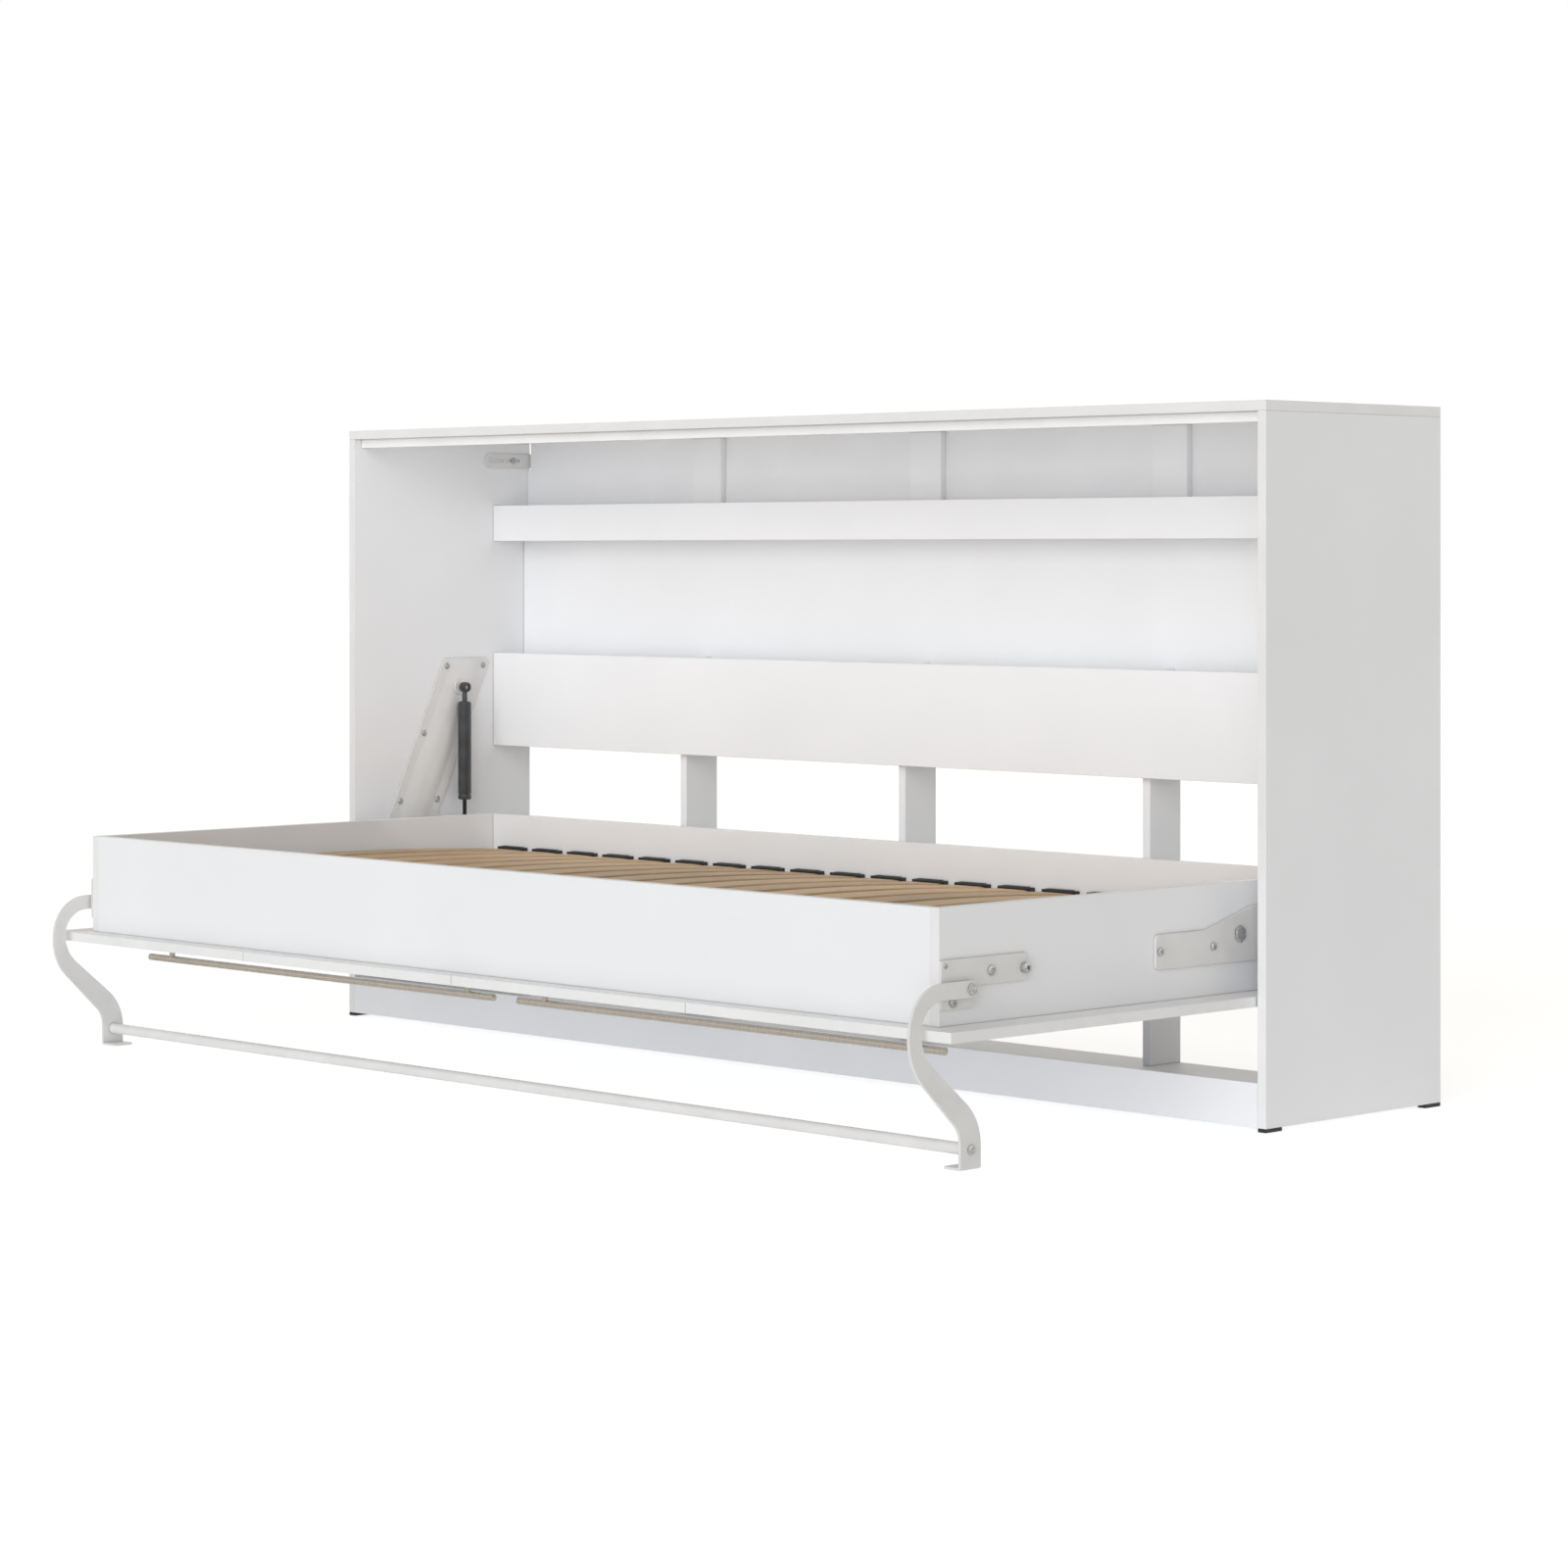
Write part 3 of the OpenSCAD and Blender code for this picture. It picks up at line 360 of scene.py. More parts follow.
def plain_pine(colours):
    """Planed softwood: broad soft bands along the ledge."""
    made, tree, bsdf, place = material("planed_pine", **{"IOR": 1.5})
    grain = pattern(tree, place, 9, 5, 0.55, drawn_out=(0.03, 1, 1))
    wood = add(tree, "ShaderNodeValToRGB", {"Fac": grain}, stops=[
        (0.3, colours.pine_dark), (0.65, colours.pine_light)])
    surface(tree, bsdf, wood.outputs[0], (grain, 0.5, 0.65), (grain, 0.2, 0.4))
    return made


def moulded_plastic(colours):
    """Injection-moulded polypropylene from a spark-eroded tool: matt black grain."""
    made, tree, bsdf, place = material("moulded_polypropylene", **{"IOR": 1.49})
    surface(tree, bsdf, toned(tree, pattern(tree, place, 30), colours.plastic, 0.85, 1.15),
            (pattern(tree, place, 5), 0.42, 0.55), (pattern(tree, place, 0.9, 2), 0.06, 0.5))
    return made


FINISHES = {}


def make_finishes():
    _, colours, _ = settings()
    slats = sorted({round((low.x + high.x) / 2, 4) for low, high in islands("slats")})
    FINISHES.update({
        "cabinet_board": melamine_board(colours),
        "edge_band": abs_edge_band(colours),
        "fibre_board": painted_hardboard(colours),
        "coated_steel": powder_coat(colours),
        "zinc_steel": zinc_plate(colours),
        "handle_steel": brushed_bar(colours),
        "spring_steel": spring_lacquer(colours),
        "nitrided_rod": nitrided_rod(colours),
        "beech_ply": beech_plywood(colours, slats[1] - slats[0]),
        "pine": plain_pine(colours),
        "black_plastic": moulded_plastic(colours),
    })


# ---------------------------------------------------------------- mesh helpers

def merged(node):
    """A copy of a CAD node's mesh, with its loose triangles joined."""
    bm = bmesh.new()
    bm.from_mesh(frame["nodes"][node].data)
    bmesh.ops.remove_doubles(bm, verts=bm.verts, dist=1e-6)
    return bm


def islands(node):
    """The lowest and highest corners of each separate solid in a CAD node."""
    bm = merged(node)
    left, found = set(bm.verts), []
    while left:
        group, queue = set(), [left.pop()]
        while queue:
            vert = queue.pop()
            group.add(vert)
            for edge in vert.link_edges:
                other = edge.other_vert(vert)
                if other in left:
                    left.discard(other)
                    queue.append(other)
        points = [v.co for v in group]
        found.append((Vector([min(p[i] for p in points) for i in range(3)]),
                      Vector([max(p[i] for p in points) for i in range(3)])))
    bm.free()
    return found


def body_of(node):
    return next(body for body, nodes in BODIES.items() if node in nodes)


def slot_of(node):
    return next(s["material_slot"] for s in frame["record"]["subparts"] if s["node"] == node)


def piece_from(bm, name, finishes, node):
    """A finished object from a bmesh: it rides on its CAD node's body and stands for the node."""
    bmesh.ops.remove_doubles(bm, verts=bm.verts, dist=1e-7)
    bmesh.ops.recalc_face_normals(bm, faces=bm.faces)
    mesh = bpy.data.meshes.new(name)
    bm.to_mesh(mesh)
    bm.free()
    for finish in finishes:
        mesh.materials.append(FINISHES[finish])
    piece = bpy.data.objects.new(name, mesh)
    bpy.context.scene.collection.objects.link(piece)
    mesh.shade_smooth()
    soften = piece.modifiers.new("Even normals", "WEIGHTED_NORMAL")
    soften.weight = 80
    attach(piece, body_of(node))
    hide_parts(node)


def bevelled(bm, width, segments):
    """Rounds every edge of the mesh that turns by more than a sharp corner does."""
    sharp = math.radians(25)
    edges = [e for e in bm.edges if len(e.link_faces) == 2 and e.calc_face_angle(0) > sharp]
    bmesh.ops.bevel(bm, geom=edges, offset=width, offset_type="OFFSET", segments=segments,
                    profile=0.5, affect="EDGES", clamp_overlap=True)


def flat_faced(node):
    """A CAD node's mesh with the triangles of each flat face joined."""
    bm = merged(node)
    bmesh.ops.dissolve_limit(bm, angle_limit=math.radians(0.5), verts=bm.verts, edges=bm.edges)
    return bm


def softened(node, width, finish, segments=2):
    """A CAD node's own shape with rounded edges."""
    bm = flat_faced(node)
    bevelled(bm, width, segments)
    piece_from(bm, "shaped_" + node, [finish], node)


def box_mesh(bm, low, high):
    size = Vector(high) - Vector(low)
    middle = (Vector(high) + Vector(low)) / 2
    placed = Matrix.Translation(middle) @ Matrix.Diagonal(size).to_4x4()
    bmesh.ops.create_cube(bm, size=1.0, matrix=placed)


def edged_boards(node, width):
    """A node's boards with rounded, banded edges: their faces wear melamine, the rest the band."""
    whole = bmesh.new()
    for low, high in islands(node):
        size = high - low
        thin = min(range(3), key=lambda axis: size[axis])
        bm = bmesh.new()
        box_mesh(bm, low, high)
        bevelled(bm, width, 3)
        for face in bm.faces:
            face.material_index = 0 if abs(face.normal[thin]) > 0.99 else 1
        board = bpy.data.meshes.new(node)
        bm.to_mesh(board)
        bm.free()
        whole.from_mesh(board)
        bpy.data.meshes.remove(board)
    piece_from(whole, "edged_" + node, ["cabinet_board", "edge_band"], node)


def turned(bm, profile, axis, origin, steps):
    """Spins (distance along the axis, radius) points round an axis into a closed shape."""
    origin = Vector(origin)
    along = Vector(axis).normalized()
    up = Vector((0, 1, 0)) if abs(along.z) > 0.5 else Vector((0, 0, 1))
    side = (up - along * up.dot(along)).normalized()
    other = along.cross(side)
    rings = []
    for distance, radius in profile:
        middle = origin + along * distance
        if radius < 1e-7:
            rings.append([bm.verts.new(middle)])
            continue
        rings.append([bm.verts.new(middle + radius * (
            side * math.cos(2 * math.pi * i / steps) + other * math.sin(2 * math.pi * i / steps)))
            for i in range(steps)])
    for first, second in zip(rings, rings[1:]):
        for i in range(steps):
            corners = [first[i % len(first)], first[(i + 1) % len(first)],
                       second[(i + 1) % len(second)], second[i % len(second)]]
            unique = list(dict.fromkeys(corners))
            if len(unique) > 2:
                bm.faces.new(unique)


def rounded_end(distance, radius, edge, steps=3, start=True):
    """Profile points that round a turned piece's end; start is the end it begins with."""
    points = [(distance + (edge * (1 - math.sin(t)) if start else -edge * (1 - math.sin(t))),
               radius - edge * (1 - math.cos(t)))
              for t in [math.pi / 2 * i / steps for i in range(steps + 1)]]
    points = points[::-1] if start else points
    return [(distance, 0.0)] + points if start else points + [(distance, 0.0)]


def prism(sides, radius, low, high):
    """A cutter with flat sides, along X from low to high."""
    bm = bmesh.new()
    turned(bm, [(low, 0), (low, radius), (high, radius), (high, 0)], (1, 0, 0), (0, 0, 0), sides)
    return bm


def object_from(bm, name):
    bmesh.ops.recalc_face_normals(bm, faces=bm.faces)
    mesh = bpy.data.meshes.new(name)
    bm.to_mesh(mesh)
    bm.free()
    made = bpy.data.objects.new(name, mesh)
    bpy.context.scene.collection.objects.link(made)
    return made


def plain_mesh(piece, name):
    """What an object's modifiers make of it, as a mesh of its own."""
    bpy.context.view_layer.update()
    graph = bpy.context.evaluated_depsgraph_get()
    mesh = bpy.data.meshes.new_from_object(
        piece.evaluated_get(graph), preserve_all_data_layers=True, depsgraph=graph)
    mesh.name = name
    return mesh


def drop(*pieces):
    for piece in pieces:
        bpy.data.objects.remove(piece)


def cut(body_bm, cutters, name):
    """The first shape less the cutters, as a template object for the repeat tree."""
    solid = object_from(body_bm, name)
    tools = [object_from(bm, name + "_tool") for bm in cutters]
    for tool in tools:
        boolean = solid.modifiers.new("Recess", "BOOLEAN")
        boolean.operation, boolean.object, boolean.solver = "DIFFERENCE", tool, "EXACT"
    mesh = plain_mesh(solid, name)
    drop(solid, *tools)
    made = bpy.data.objects.new(name, mesh)
    bpy.context.scene.collection.objects.link(made)
    return made


# ---------------------------------------------------------------- geometry nodes

def tree_socket(tree, name, kind, way="INPUT", default=None):
    made = tree.interface.new_socket(name=name, in_out=way, socket_type="NodeSocket" + kind)
    if default is not None:
        made.default_value = default
    return made


def new_tree(name, sockets):
    """An empty geometry tree with named inputs; returns it with its input node."""
    tree = bpy.data.node_groups.new(name, "GeometryNodeTree")
    tree_socket(tree, "Geometry", "Geometry")
    for socket in sockets:
        tree_socket(tree, *socket[:2], default=socket[2] if len(socket) > 2 else None)
    tree_socket(tree, "Geometry", "Geometry", "OUTPUT")
    return tree, add(tree, "NodeGroupInput")


def close_tree(tree, geometry, finish):
    """Realizes the instances, gives them their material and ends the tree."""
    real = add(tree, "GeometryNodeRealizeInstances", {"Geometry": geometry}).outputs[0]
    dressed = add(tree, "GeometryNodeSetMaterial", {"Geometry": real, "Material": finish}).outputs[0]
    add(tree, "NodeGroupOutput", {"Geometry": dressed})


def repeat_tree():
    """Puts a template on each point, turned by the point's own angles and spun at random."""
    tree, given = new_tree("repeat_on_points", [
        ("Template", "Object"), ("Finish", "Material"), ("Spin", "Float", 0.0), ("Seed", "Int", 0)])
    template = add(tree, "GeometryNodeObjectInfo", {"Object": given.outputs["Template"]})
    turn = add(tree, "GeometryNodeInputNamedAttribute", {"Name": "turn"}, data_type="FLOAT_VECTOR")
    spin = add(tree, "FunctionNodeRandomValue", {
        "Max": given.outputs["Spin"], "Seed": given.outputs["Seed"]}, data_type="FLOAT")
    spun = add(tree, "ShaderNodeCombineXYZ", {0: spin.outputs["Value"]}).outputs[0]
    angles = add(tree, "ShaderNodeVectorMath", {0: turn.outputs["Attribute"], 1: spun},
                 operation="ADD").outputs[0]
    placed = add(tree, "GeometryNodeInstanceOnPoints", {
        "Points": given.outputs["Geometry"], "Instance": template.outputs["Geometry"],
        "Rotation": angles}).outputs[0]
    close_tree(tree, placed, given.outputs["Finish"])
    return tree


def slat_tree():
    """A row of bent slats: an arc swept with a rounded section, repeated along X."""
    tree, given = new_tree("row_of_slats", [
        ("Count", "Int", 20), ("Pitch", "Float", 0.1), ("First", "Float", 0.0),
        ("Arc radius", "Float", 6.0), ("Half angle", "Float", 0.07), ("Arc middle", "Vector"),
        ("Width", "Float", 0.07), ("Thickness", "Float", 0.008), ("Edge radius", "Float", 0.002),
        ("Finish", "Material")])
    out = given.outputs
    start = add(tree, "ShaderNodeMath", {0: math.pi / 2, 1: out["Half angle"]}, operation="SUBTRACT")
    sweep = add(tree, "ShaderNodeMath", {0: out["Half angle"], 1: 2.0}, operation="MULTIPLY")
    arc = add(tree, "GeometryNodeCurveArc", {
        "Resolution": 33, "Radius": out["Arc radius"], "Start Angle": start.outputs[0],
        "Sweep Angle": sweep.outputs[0]})
    section = add(tree, "GeometryNodeCurvePrimitiveQuadrilateral", {
        "Width": out["Thickness"], "Height": out["Width"]})
    rounded = add(tree, "GeometryNodeFilletCurve", {
        "Curve": section.outputs[0], "Radius": out["Edge radius"], "Count": 4}, mode="POLY")
    swept = add(tree, "GeometryNodeCurveToMesh", {
        "Curve": arc.outputs[0], "Profile Curve": rounded.outputs[0], "Fill Caps": True}).outputs[0]
    upright = add(tree, "GeometryNodeTransform", {
        "Geometry": swept, "Rotation": Euler((math.pi / 2, 0, math.pi / 2)),
        "Translation": out["Arc middle"]}).outputs[0]
    first = add(tree, "ShaderNodeCombineXYZ", {0: out["First"]}).outputs[0]
    step = add(tree, "ShaderNodeCombineXYZ", {0: out["Pitch"]}).outputs[0]
    row = add(tree, "GeometryNodeMeshLine", {
        "Count": out["Count"], "Start Location": first, "Offset": step}).outputs[0]
    placed = add(tree, "GeometryNodeInstanceOnPoints", {"Points": row, "Instance": upright}).outputs[0]
    close_tree(tree, placed, out["Finish"])
    return tree


def grown(name, tree, values, points=()):
    """A plain mesh that the tree makes from (place, turn) points and its named inputs."""
    seed_mesh = bpy.data.meshes.new(name)
    seed_mesh.from_pydata([place for place, _ in points], [], [])
    if points:
        turn = seed_mesh.attributes.new("turn", "FLOAT_VECTOR", "POINT")
        turn.data.foreach_set("vector", [angle for _, turned_by in points for angle in turned_by])
    host = bpy.data.objects.new(name, seed_mesh)
    bpy.context.scene.collection.objects.link(host)
    grow = host.modifiers.new("Grow", "NODES")
    grow.node_group = tree
    for item in tree.interface.items_tree:
        if item.item_type == "SOCKET" and item.in_out == "INPUT" and item.name in values:
            grow[item.identifier] = values[item.name]
    mesh = plain_mesh(host, name)
    drop(host)
    return mesh


def repeated(bm, template, points, finish, spin=0.0):
    """Adds a template on each point, by the repeat tree, to a mesh, and removes the template."""
    sizes, _, _ = settings()
    mesh = grown(template.name + "_set", repeat_tree(), {
        "Template": template, "Finish": FINISHES[finish], "Spin": spin, "Seed": sizes.spin_seed}, points)
    drop(template)
    bm.from_mesh(mesh)
    bpy.data.meshes.remove(mesh)


def tips(node, outward):
    """Where each fastener of a node ends, and the turn that points a template there.
    outward is 1 where heads face away from the middle of the bed and -1 where they face it."""
    found = []
    for low, high in islands(node):
        side = 1 if low.x + high.x > 0 else -1
        facing = side * outward
        tip = Vector((high.x if facing > 0 else low.x, (low.y + high.y) / 2, (low.z + high.z) / 2))
        found.append((tip, (0.0, 0.0, 0.0 if facing > 0 else math.pi), high - low))
    return found


# ---------------------------------------------------------------- fastener templates, heads towards +X

def pan_screw(head_r, head_h, shank_r, length):
    """A pan-head screw with a cross recess; its head's top is at X = 0."""
    sizes, _, _ = settings()
    bm = bmesh.new()
    dome = [(-head_h * (1 - math.cos(t)), head_r * math.sin(t)) for t in
            [math.pi / 2 * i / 6 for i in range(7)]]
    turned(bm, dome + [(-head_h, shank_r), (-length, shank_r), (-length, 0)],
           (1, 0, 0), (0, 0, 0), sizes.turned_steps)
    arm, width, depth = head_r * 0.62, head_r * 0.16, head_h * 0.6
    cutters = []
    for long_axis in (1, 2):
        half = Vector((depth, arm if long_axis == 1 else width, arm if long_axis == 2 else width))
        cutter = bmesh.new()
        box_mesh(cutter, -half, Vector((depth, half.y, half.z)))
        cutters.append(cutter)
    return cut(bm, cutters, "pan_screw")


def socket_bolt(head_r, head_h, length, back_r, back_h, shank_r, edge):
    """A button-head bolt with a hexagon socket, its shank, and a flat nut at its far end."""
    sizes, _, _ = settings()
    bm = bmesh.new()
    flat, nut_edge, socket_r, socket_depth = 0.55, 0.4 * MM, head_r * 0.42, head_h * 0.6
    head = [(0.0, 0.0), (0.0, head_r * flat)] + [
        (-edge * (1 - math.cos(t)), head_r * (flat + (1 - flat) * math.sin(t)))
        for t in [math.pi / 2 * i / 5 for i in range(1, 6)]]
    turned(bm, head + [(-head_h, head_r), (-head_h, shank_r), (back_h - length, shank_r),
                       (back_h - length, back_r), (-length + nut_edge, back_r),
                       (-length, back_r - nut_edge), (-length, 0)],
           (1, 0, 0), (0, 0, 0), sizes.turned_steps)
    return cut(bm, [prism(6, socket_r, -socket_depth, 1 * MM)], "socket_bolt")


def hexagon_nut(corner_r, height, length, back_r, back_h, shank_r):
    """A chamfered hexagon nut, a corner upwards, with the bolt's broken end inside it."""
    sizes, _, _ = settings()
    bm = bmesh.new()
    chamfer, face_r = height * 0.25, corner_r * 0.9
    mouth_r, bolt_top, bolt_edge = shank_r * 1.25, height * 0.1, shank_r * 0.8
    sunk = height * 0.15
    turned(bm, [(-height, 0), (-height, corner_r), (-chamfer, corner_r), (0, face_r),
                (0, mouth_r), (-sunk, shank_r), (-sunk, 0)], (1, 0, 0), (0, 0, 0), 6)
    turned(bm, [(-bolt_top, 0), (-bolt_top, bolt_edge), (-chamfer, shank_r),
                (back_h - length, shank_r), (back_h - length, back_r), (-length, back_r), (-length, 0)],
           (1, 0, 0), (0, 0, 0), sizes.turned_steps)
    return object_from(bm, "hexagon_nut")


# ---------------------------------------------------------------- pieces

PLAIN_BOARDS = [
    "left_side_panel", "right_side_panel", "top_panel", "bottom_board", "plinth_board",
    "door_stop_board", "upper_back_rail", "middle_back_rail", "middle_back_panel", "back_battens",
    "left_bed_side", "right_bed_side", "bed_front_board", "bed_rear_board", "door_cleats",
    "door_panel_1", "door_panel_2", "door_panel_3", "door_panel_4"]
POSTS = ["back_post_1", "back_post_2", "back_post_3"]


def dress_cad():
    """Every CAD node starts with the finish of its slot; those that no piece replaces keep it."""
    for node, thing in frame["nodes"].items():
        thing.data.materials.clear()
        thing.data.materials.append(FINISHES[slot_of(node)])


def make_boards():
    sizes, _, _ = settings()
    for node in PLAIN_BOARDS:
        edged_boards(node, sizes.board_edge)
    for node in POSTS:
        softened(node, sizes.board_edge, "cabinet_board")


def make_slats():
    sizes, _, _ = settings()
    low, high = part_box("slats")
    parts = sorted(islands("slats"), key=lambda part: part[0].x)
    width = parts[0][1].x - parts[0][0].x
    pitch = parts[1][0].x - parts[0][0].x
    half_l = (high.y - low.y) / 2
    rise = high.z - low.z - sizes.slat_thickness
    inner = (half_l ** 2 + rise ** 2) / (2 * rise)
    middle_r = inner + sizes.slat_thickness / 2
    mesh = grown("beech_slats", slat_tree(), {
        "Count": len(parts), "Pitch": pitch, "First": low.x + width / 2,
        "Arc radius": middle_r, "Half angle": math.asin(half_l / (inner + sizes.slat_thickness)),
        "Arc middle": (0.0, (low.y + high.y) / 2, high.z - sizes.slat_thickness / 2 - middle_r),
        "Width": width, "Thickness": sizes.slat_thickness, "Edge radius": sizes.slat_edge,
        "Finish": FINISHES["beech_ply"]})
    bm = bmesh.new()
    bm.from_mesh(mesh)
    bpy.data.meshes.remove(mesh)
    piece_from(bm, "beech_slats", ["beech_ply"], "slats")
    softened("slat_ledges", 1.5 * MM, "pine")


def rib_template(length, width, height):
    bm = bmesh.new()
    box_mesh(bm, (-length / 2, -width / 2, -height), (length / 2, width / 2, height))
    bevelled(bm, height * 0.8, 2)
    return object_from(bm, "holder_rib")


def make_holders():
    """The plastic caps at the slats' ends, each with three ribs along its top."""
    sizes, _, _ = settings()
    bm = flat_faced("slat_holders")
    bevelled(bm, sizes.plastic_edge, 2)
    rib_count, inset, rib_w, rib_h = 3, 9 * MM, 2.4 * MM, 1.2 * MM
    points = []
    for low, high in islands("slat_holders"):
        step = (high.y - low.y - 2 * inset) / (rib_count - 1)
        points += [(Vector(((low.x + high.x) / 2, low.y + inset + i * step, high.z)), (0.0, 0.0, 0.0))
                   for i in range(rib_count)]
    rib_l = high.x - low.x - 2 * inset
    repeated(bm, rib_template(rib_l, rib_w, rib_h), points, "black_plastic")
    for face in bm.faces:
        face.material_index = 0
    piece_from(bm, "slat_end_caps", ["black_plastic"], "slat_holders")


def make_plates():
    sizes, _, _ = settings()
    for side in SIDES:
        softened(side + "_lift_bracket", sizes.steel_edge, "coated_steel", 3)
        for plate in ("_wall_bracket", "_hinge_plate", "_leg_plate"):
            softened(side + plate, sizes.steel_edge, "coated_steel")


def fasteners(node, kinds, outward=1):
    """All fasteners of a node as one piece. Each kind is a test of a fastener's size, the maker
    of its template, which gets that size, and how far it may have been driven round. Templates
    point their heads along +X."""
    bm = bmesh.new()
    found = tips(node, outward)
    for belongs, template, spin in kinds:
        chosen = [(tip, turn, size) for tip, turn, size in found if belongs(size)]
        found = [entry for entry in found if not belongs(entry[2])]
        if not chosen:
            raise RuntimeError(f"no fastener of {node} fits one of its kinds")
        points = [(tip, turn) for tip, turn, _ in chosen]
        repeated(bm, template(chosen[0][2]), points, "zinc_steel", spin)
    if found:
        raise RuntimeError(f"{len(found)} fasteners of {node} have no template")
    for face in bm.faces:
        face.material_index = 0
    piece_from(bm, "driven_" + node, ["zinc_steel"], node)


def any_size(size):
    return True


def make_fasteners():
    shank, screw_shank, back_h, back_r = 4 * MM, 2.5 * MM, 2 * MM, 7.5 * MM
    head_h, edge, free = 4 * MM, 2.5 * MM, math.pi / 2

    def screw(head):
        return lambda size: pan_screw(size.y / 2, head, screw_shank, size.x)

    def bolt(head_r, height):
        return lambda size: socket_bolt(head_r, height, size.x, back_r, back_h, shank, edge)

    fasteners("lift_bracket_screws", [(any_size, screw(3 * MM), free)], outward=-1)
    fasteners("wall_bracket_screws", [(any_size, screw(3 * MM), free)], outward=-1)
    fasteners("hinge_plate_bolts", [
        (lambda size: size.y > 16 * MM,
         lambda size: hexagon_nut(size.z / 2, head_h, size.x, back_r, back_h, shank), 0.0),
        (any_size, bolt(6 * MM, head_h), free)])
    fasteners("leg_plate_bolts", [
        (lambda size: size.y < 10 * MM, screw(2 * MM), free),
        (lambda size: size.x > 30 * MM, bolt(7.5 * MM, 10 * MM), free),
        (any_size, bolt(7.5 * MM, head_h), free)])
    fasteners("cross_bar_screws", [
        (any_size, lambda size: socket_bolt(
            size.y / 2, 3.5 * MM, size.x, shank, 1 * MM, shank, 2 * MM), free)])


def make_handles():
    """Round bars with lightly broken ends, on turned posts with a small foot."""
    sizes, _, _ = settings()
    for side in SIDES:
        low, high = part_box(side + "_handle")
        radius, length, middle = (high.z - low.z) / 2, high.x - low.x, (low + high) / 2
        bm = bmesh.new()
        turned(bm, rounded_end(0, radius, 0.8 * MM) + rounded_end(length, radius, 0.8 * MM, start=False),
               (1, 0, 0), (low.x, middle.y, middle.z), sizes.turned_steps)
        piece_from(bm, "brushed_" + side + "_handle", ["handle_steel"], side + "_handle")
    bm = bmesh.new()
    foot_r, foot_h = 2 * MM, 2 * MM
    for low, high in islands("handle_posts"):
        radius, length, middle = (high.y - low.y) / 2, high.z - low.z, (low + high) / 2
        turned(bm, [(0, 0), (0, radius), (length - foot_h - 1 * MM, radius),
                    (length - foot_h, radius + foot_r * 0.6), (length - foot_h + 0.5 * MM, radius + foot_r),
                    (length, radius + foot_r), (length, 0)],
               (0, 0, 1), (middle.x, middle.y, low.z), sizes.turned_steps)
    piece_from(bm, "turned_handle_posts", ["handle_steel"], "handle_posts")


def bent_arm(node, bend):
    """A flat arm whose foot turns in with a bend, and whose foot's corners are round."""
    bm = flat_faced(node)
    low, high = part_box(node)
    outer = high.x if high.x > -low.x else low.x
    inner = low.x + high.x - outer

    def along(edge, axis):
        return abs((edge.verts[0].co - edge.verts[1].co).normalized()[axis]) > 0.99

    def touches(edge, x, z=None):
        return all(abs(v.co.x - x) < 1e-5 and (z is None or abs(v.co.z - z) < 1e-5) for v in edge.verts)

    fold = [e for e in bm.edges if along(e, 1) and touches(e, outer, low.z)]
    corners = [e for e in bm.edges if along(e, 2) and touches(e, inner)]
    bmesh.ops.bevel(bm, geom=fold + corners, offset=bend, offset_type="OFFSET", segments=5,
                    profile=0.5, affect="EDGES", clamp_overlap=True)
    bevelled(bm, 0.9 * MM, 2)
    piece_from(bm, "bent_" + node, ["coated_steel"], node)


def make_leg():
    sizes, _, _ = settings()
    for side in SIDES:
        bent_arm(side + "_leg_arm", sizes.foot_round)
    softened("leg_cross_bar", 0.8 * MM, "coated_steel")
    softened("leg_pivot_bolts", 0.6 * MM, "zinc_steel")


def socket_drum(bm, centre, way, sizes):
    """A ball socket's drum round X, open towards way, with a window that shows the ball's end
    and a spring clip's raised band."""
    radius, room = sizes.socket, sizes.ball + 0.3 * MM
    wall, mouth, window, edge, band = 2 * MM, 6.5 * MM, 4.5 * MM, 1 * MM, 0.6 * MM
    length = wall + room + mouth
    profile = [(0, window), (0, radius - edge), (edge, radius), (length * 0.45, radius),
               (length * 0.45, radius + band), (length * 0.62, radius + band), (length * 0.62, radius),
               (length - edge, radius), (length, radius - edge), (length, room), (wall, room),
               (wall, window), (0, window)]
    turned(bm, profile, (way, 0, 0), centre - Vector((way * (wall + room), 0, 0)), sizes.turned_steps)


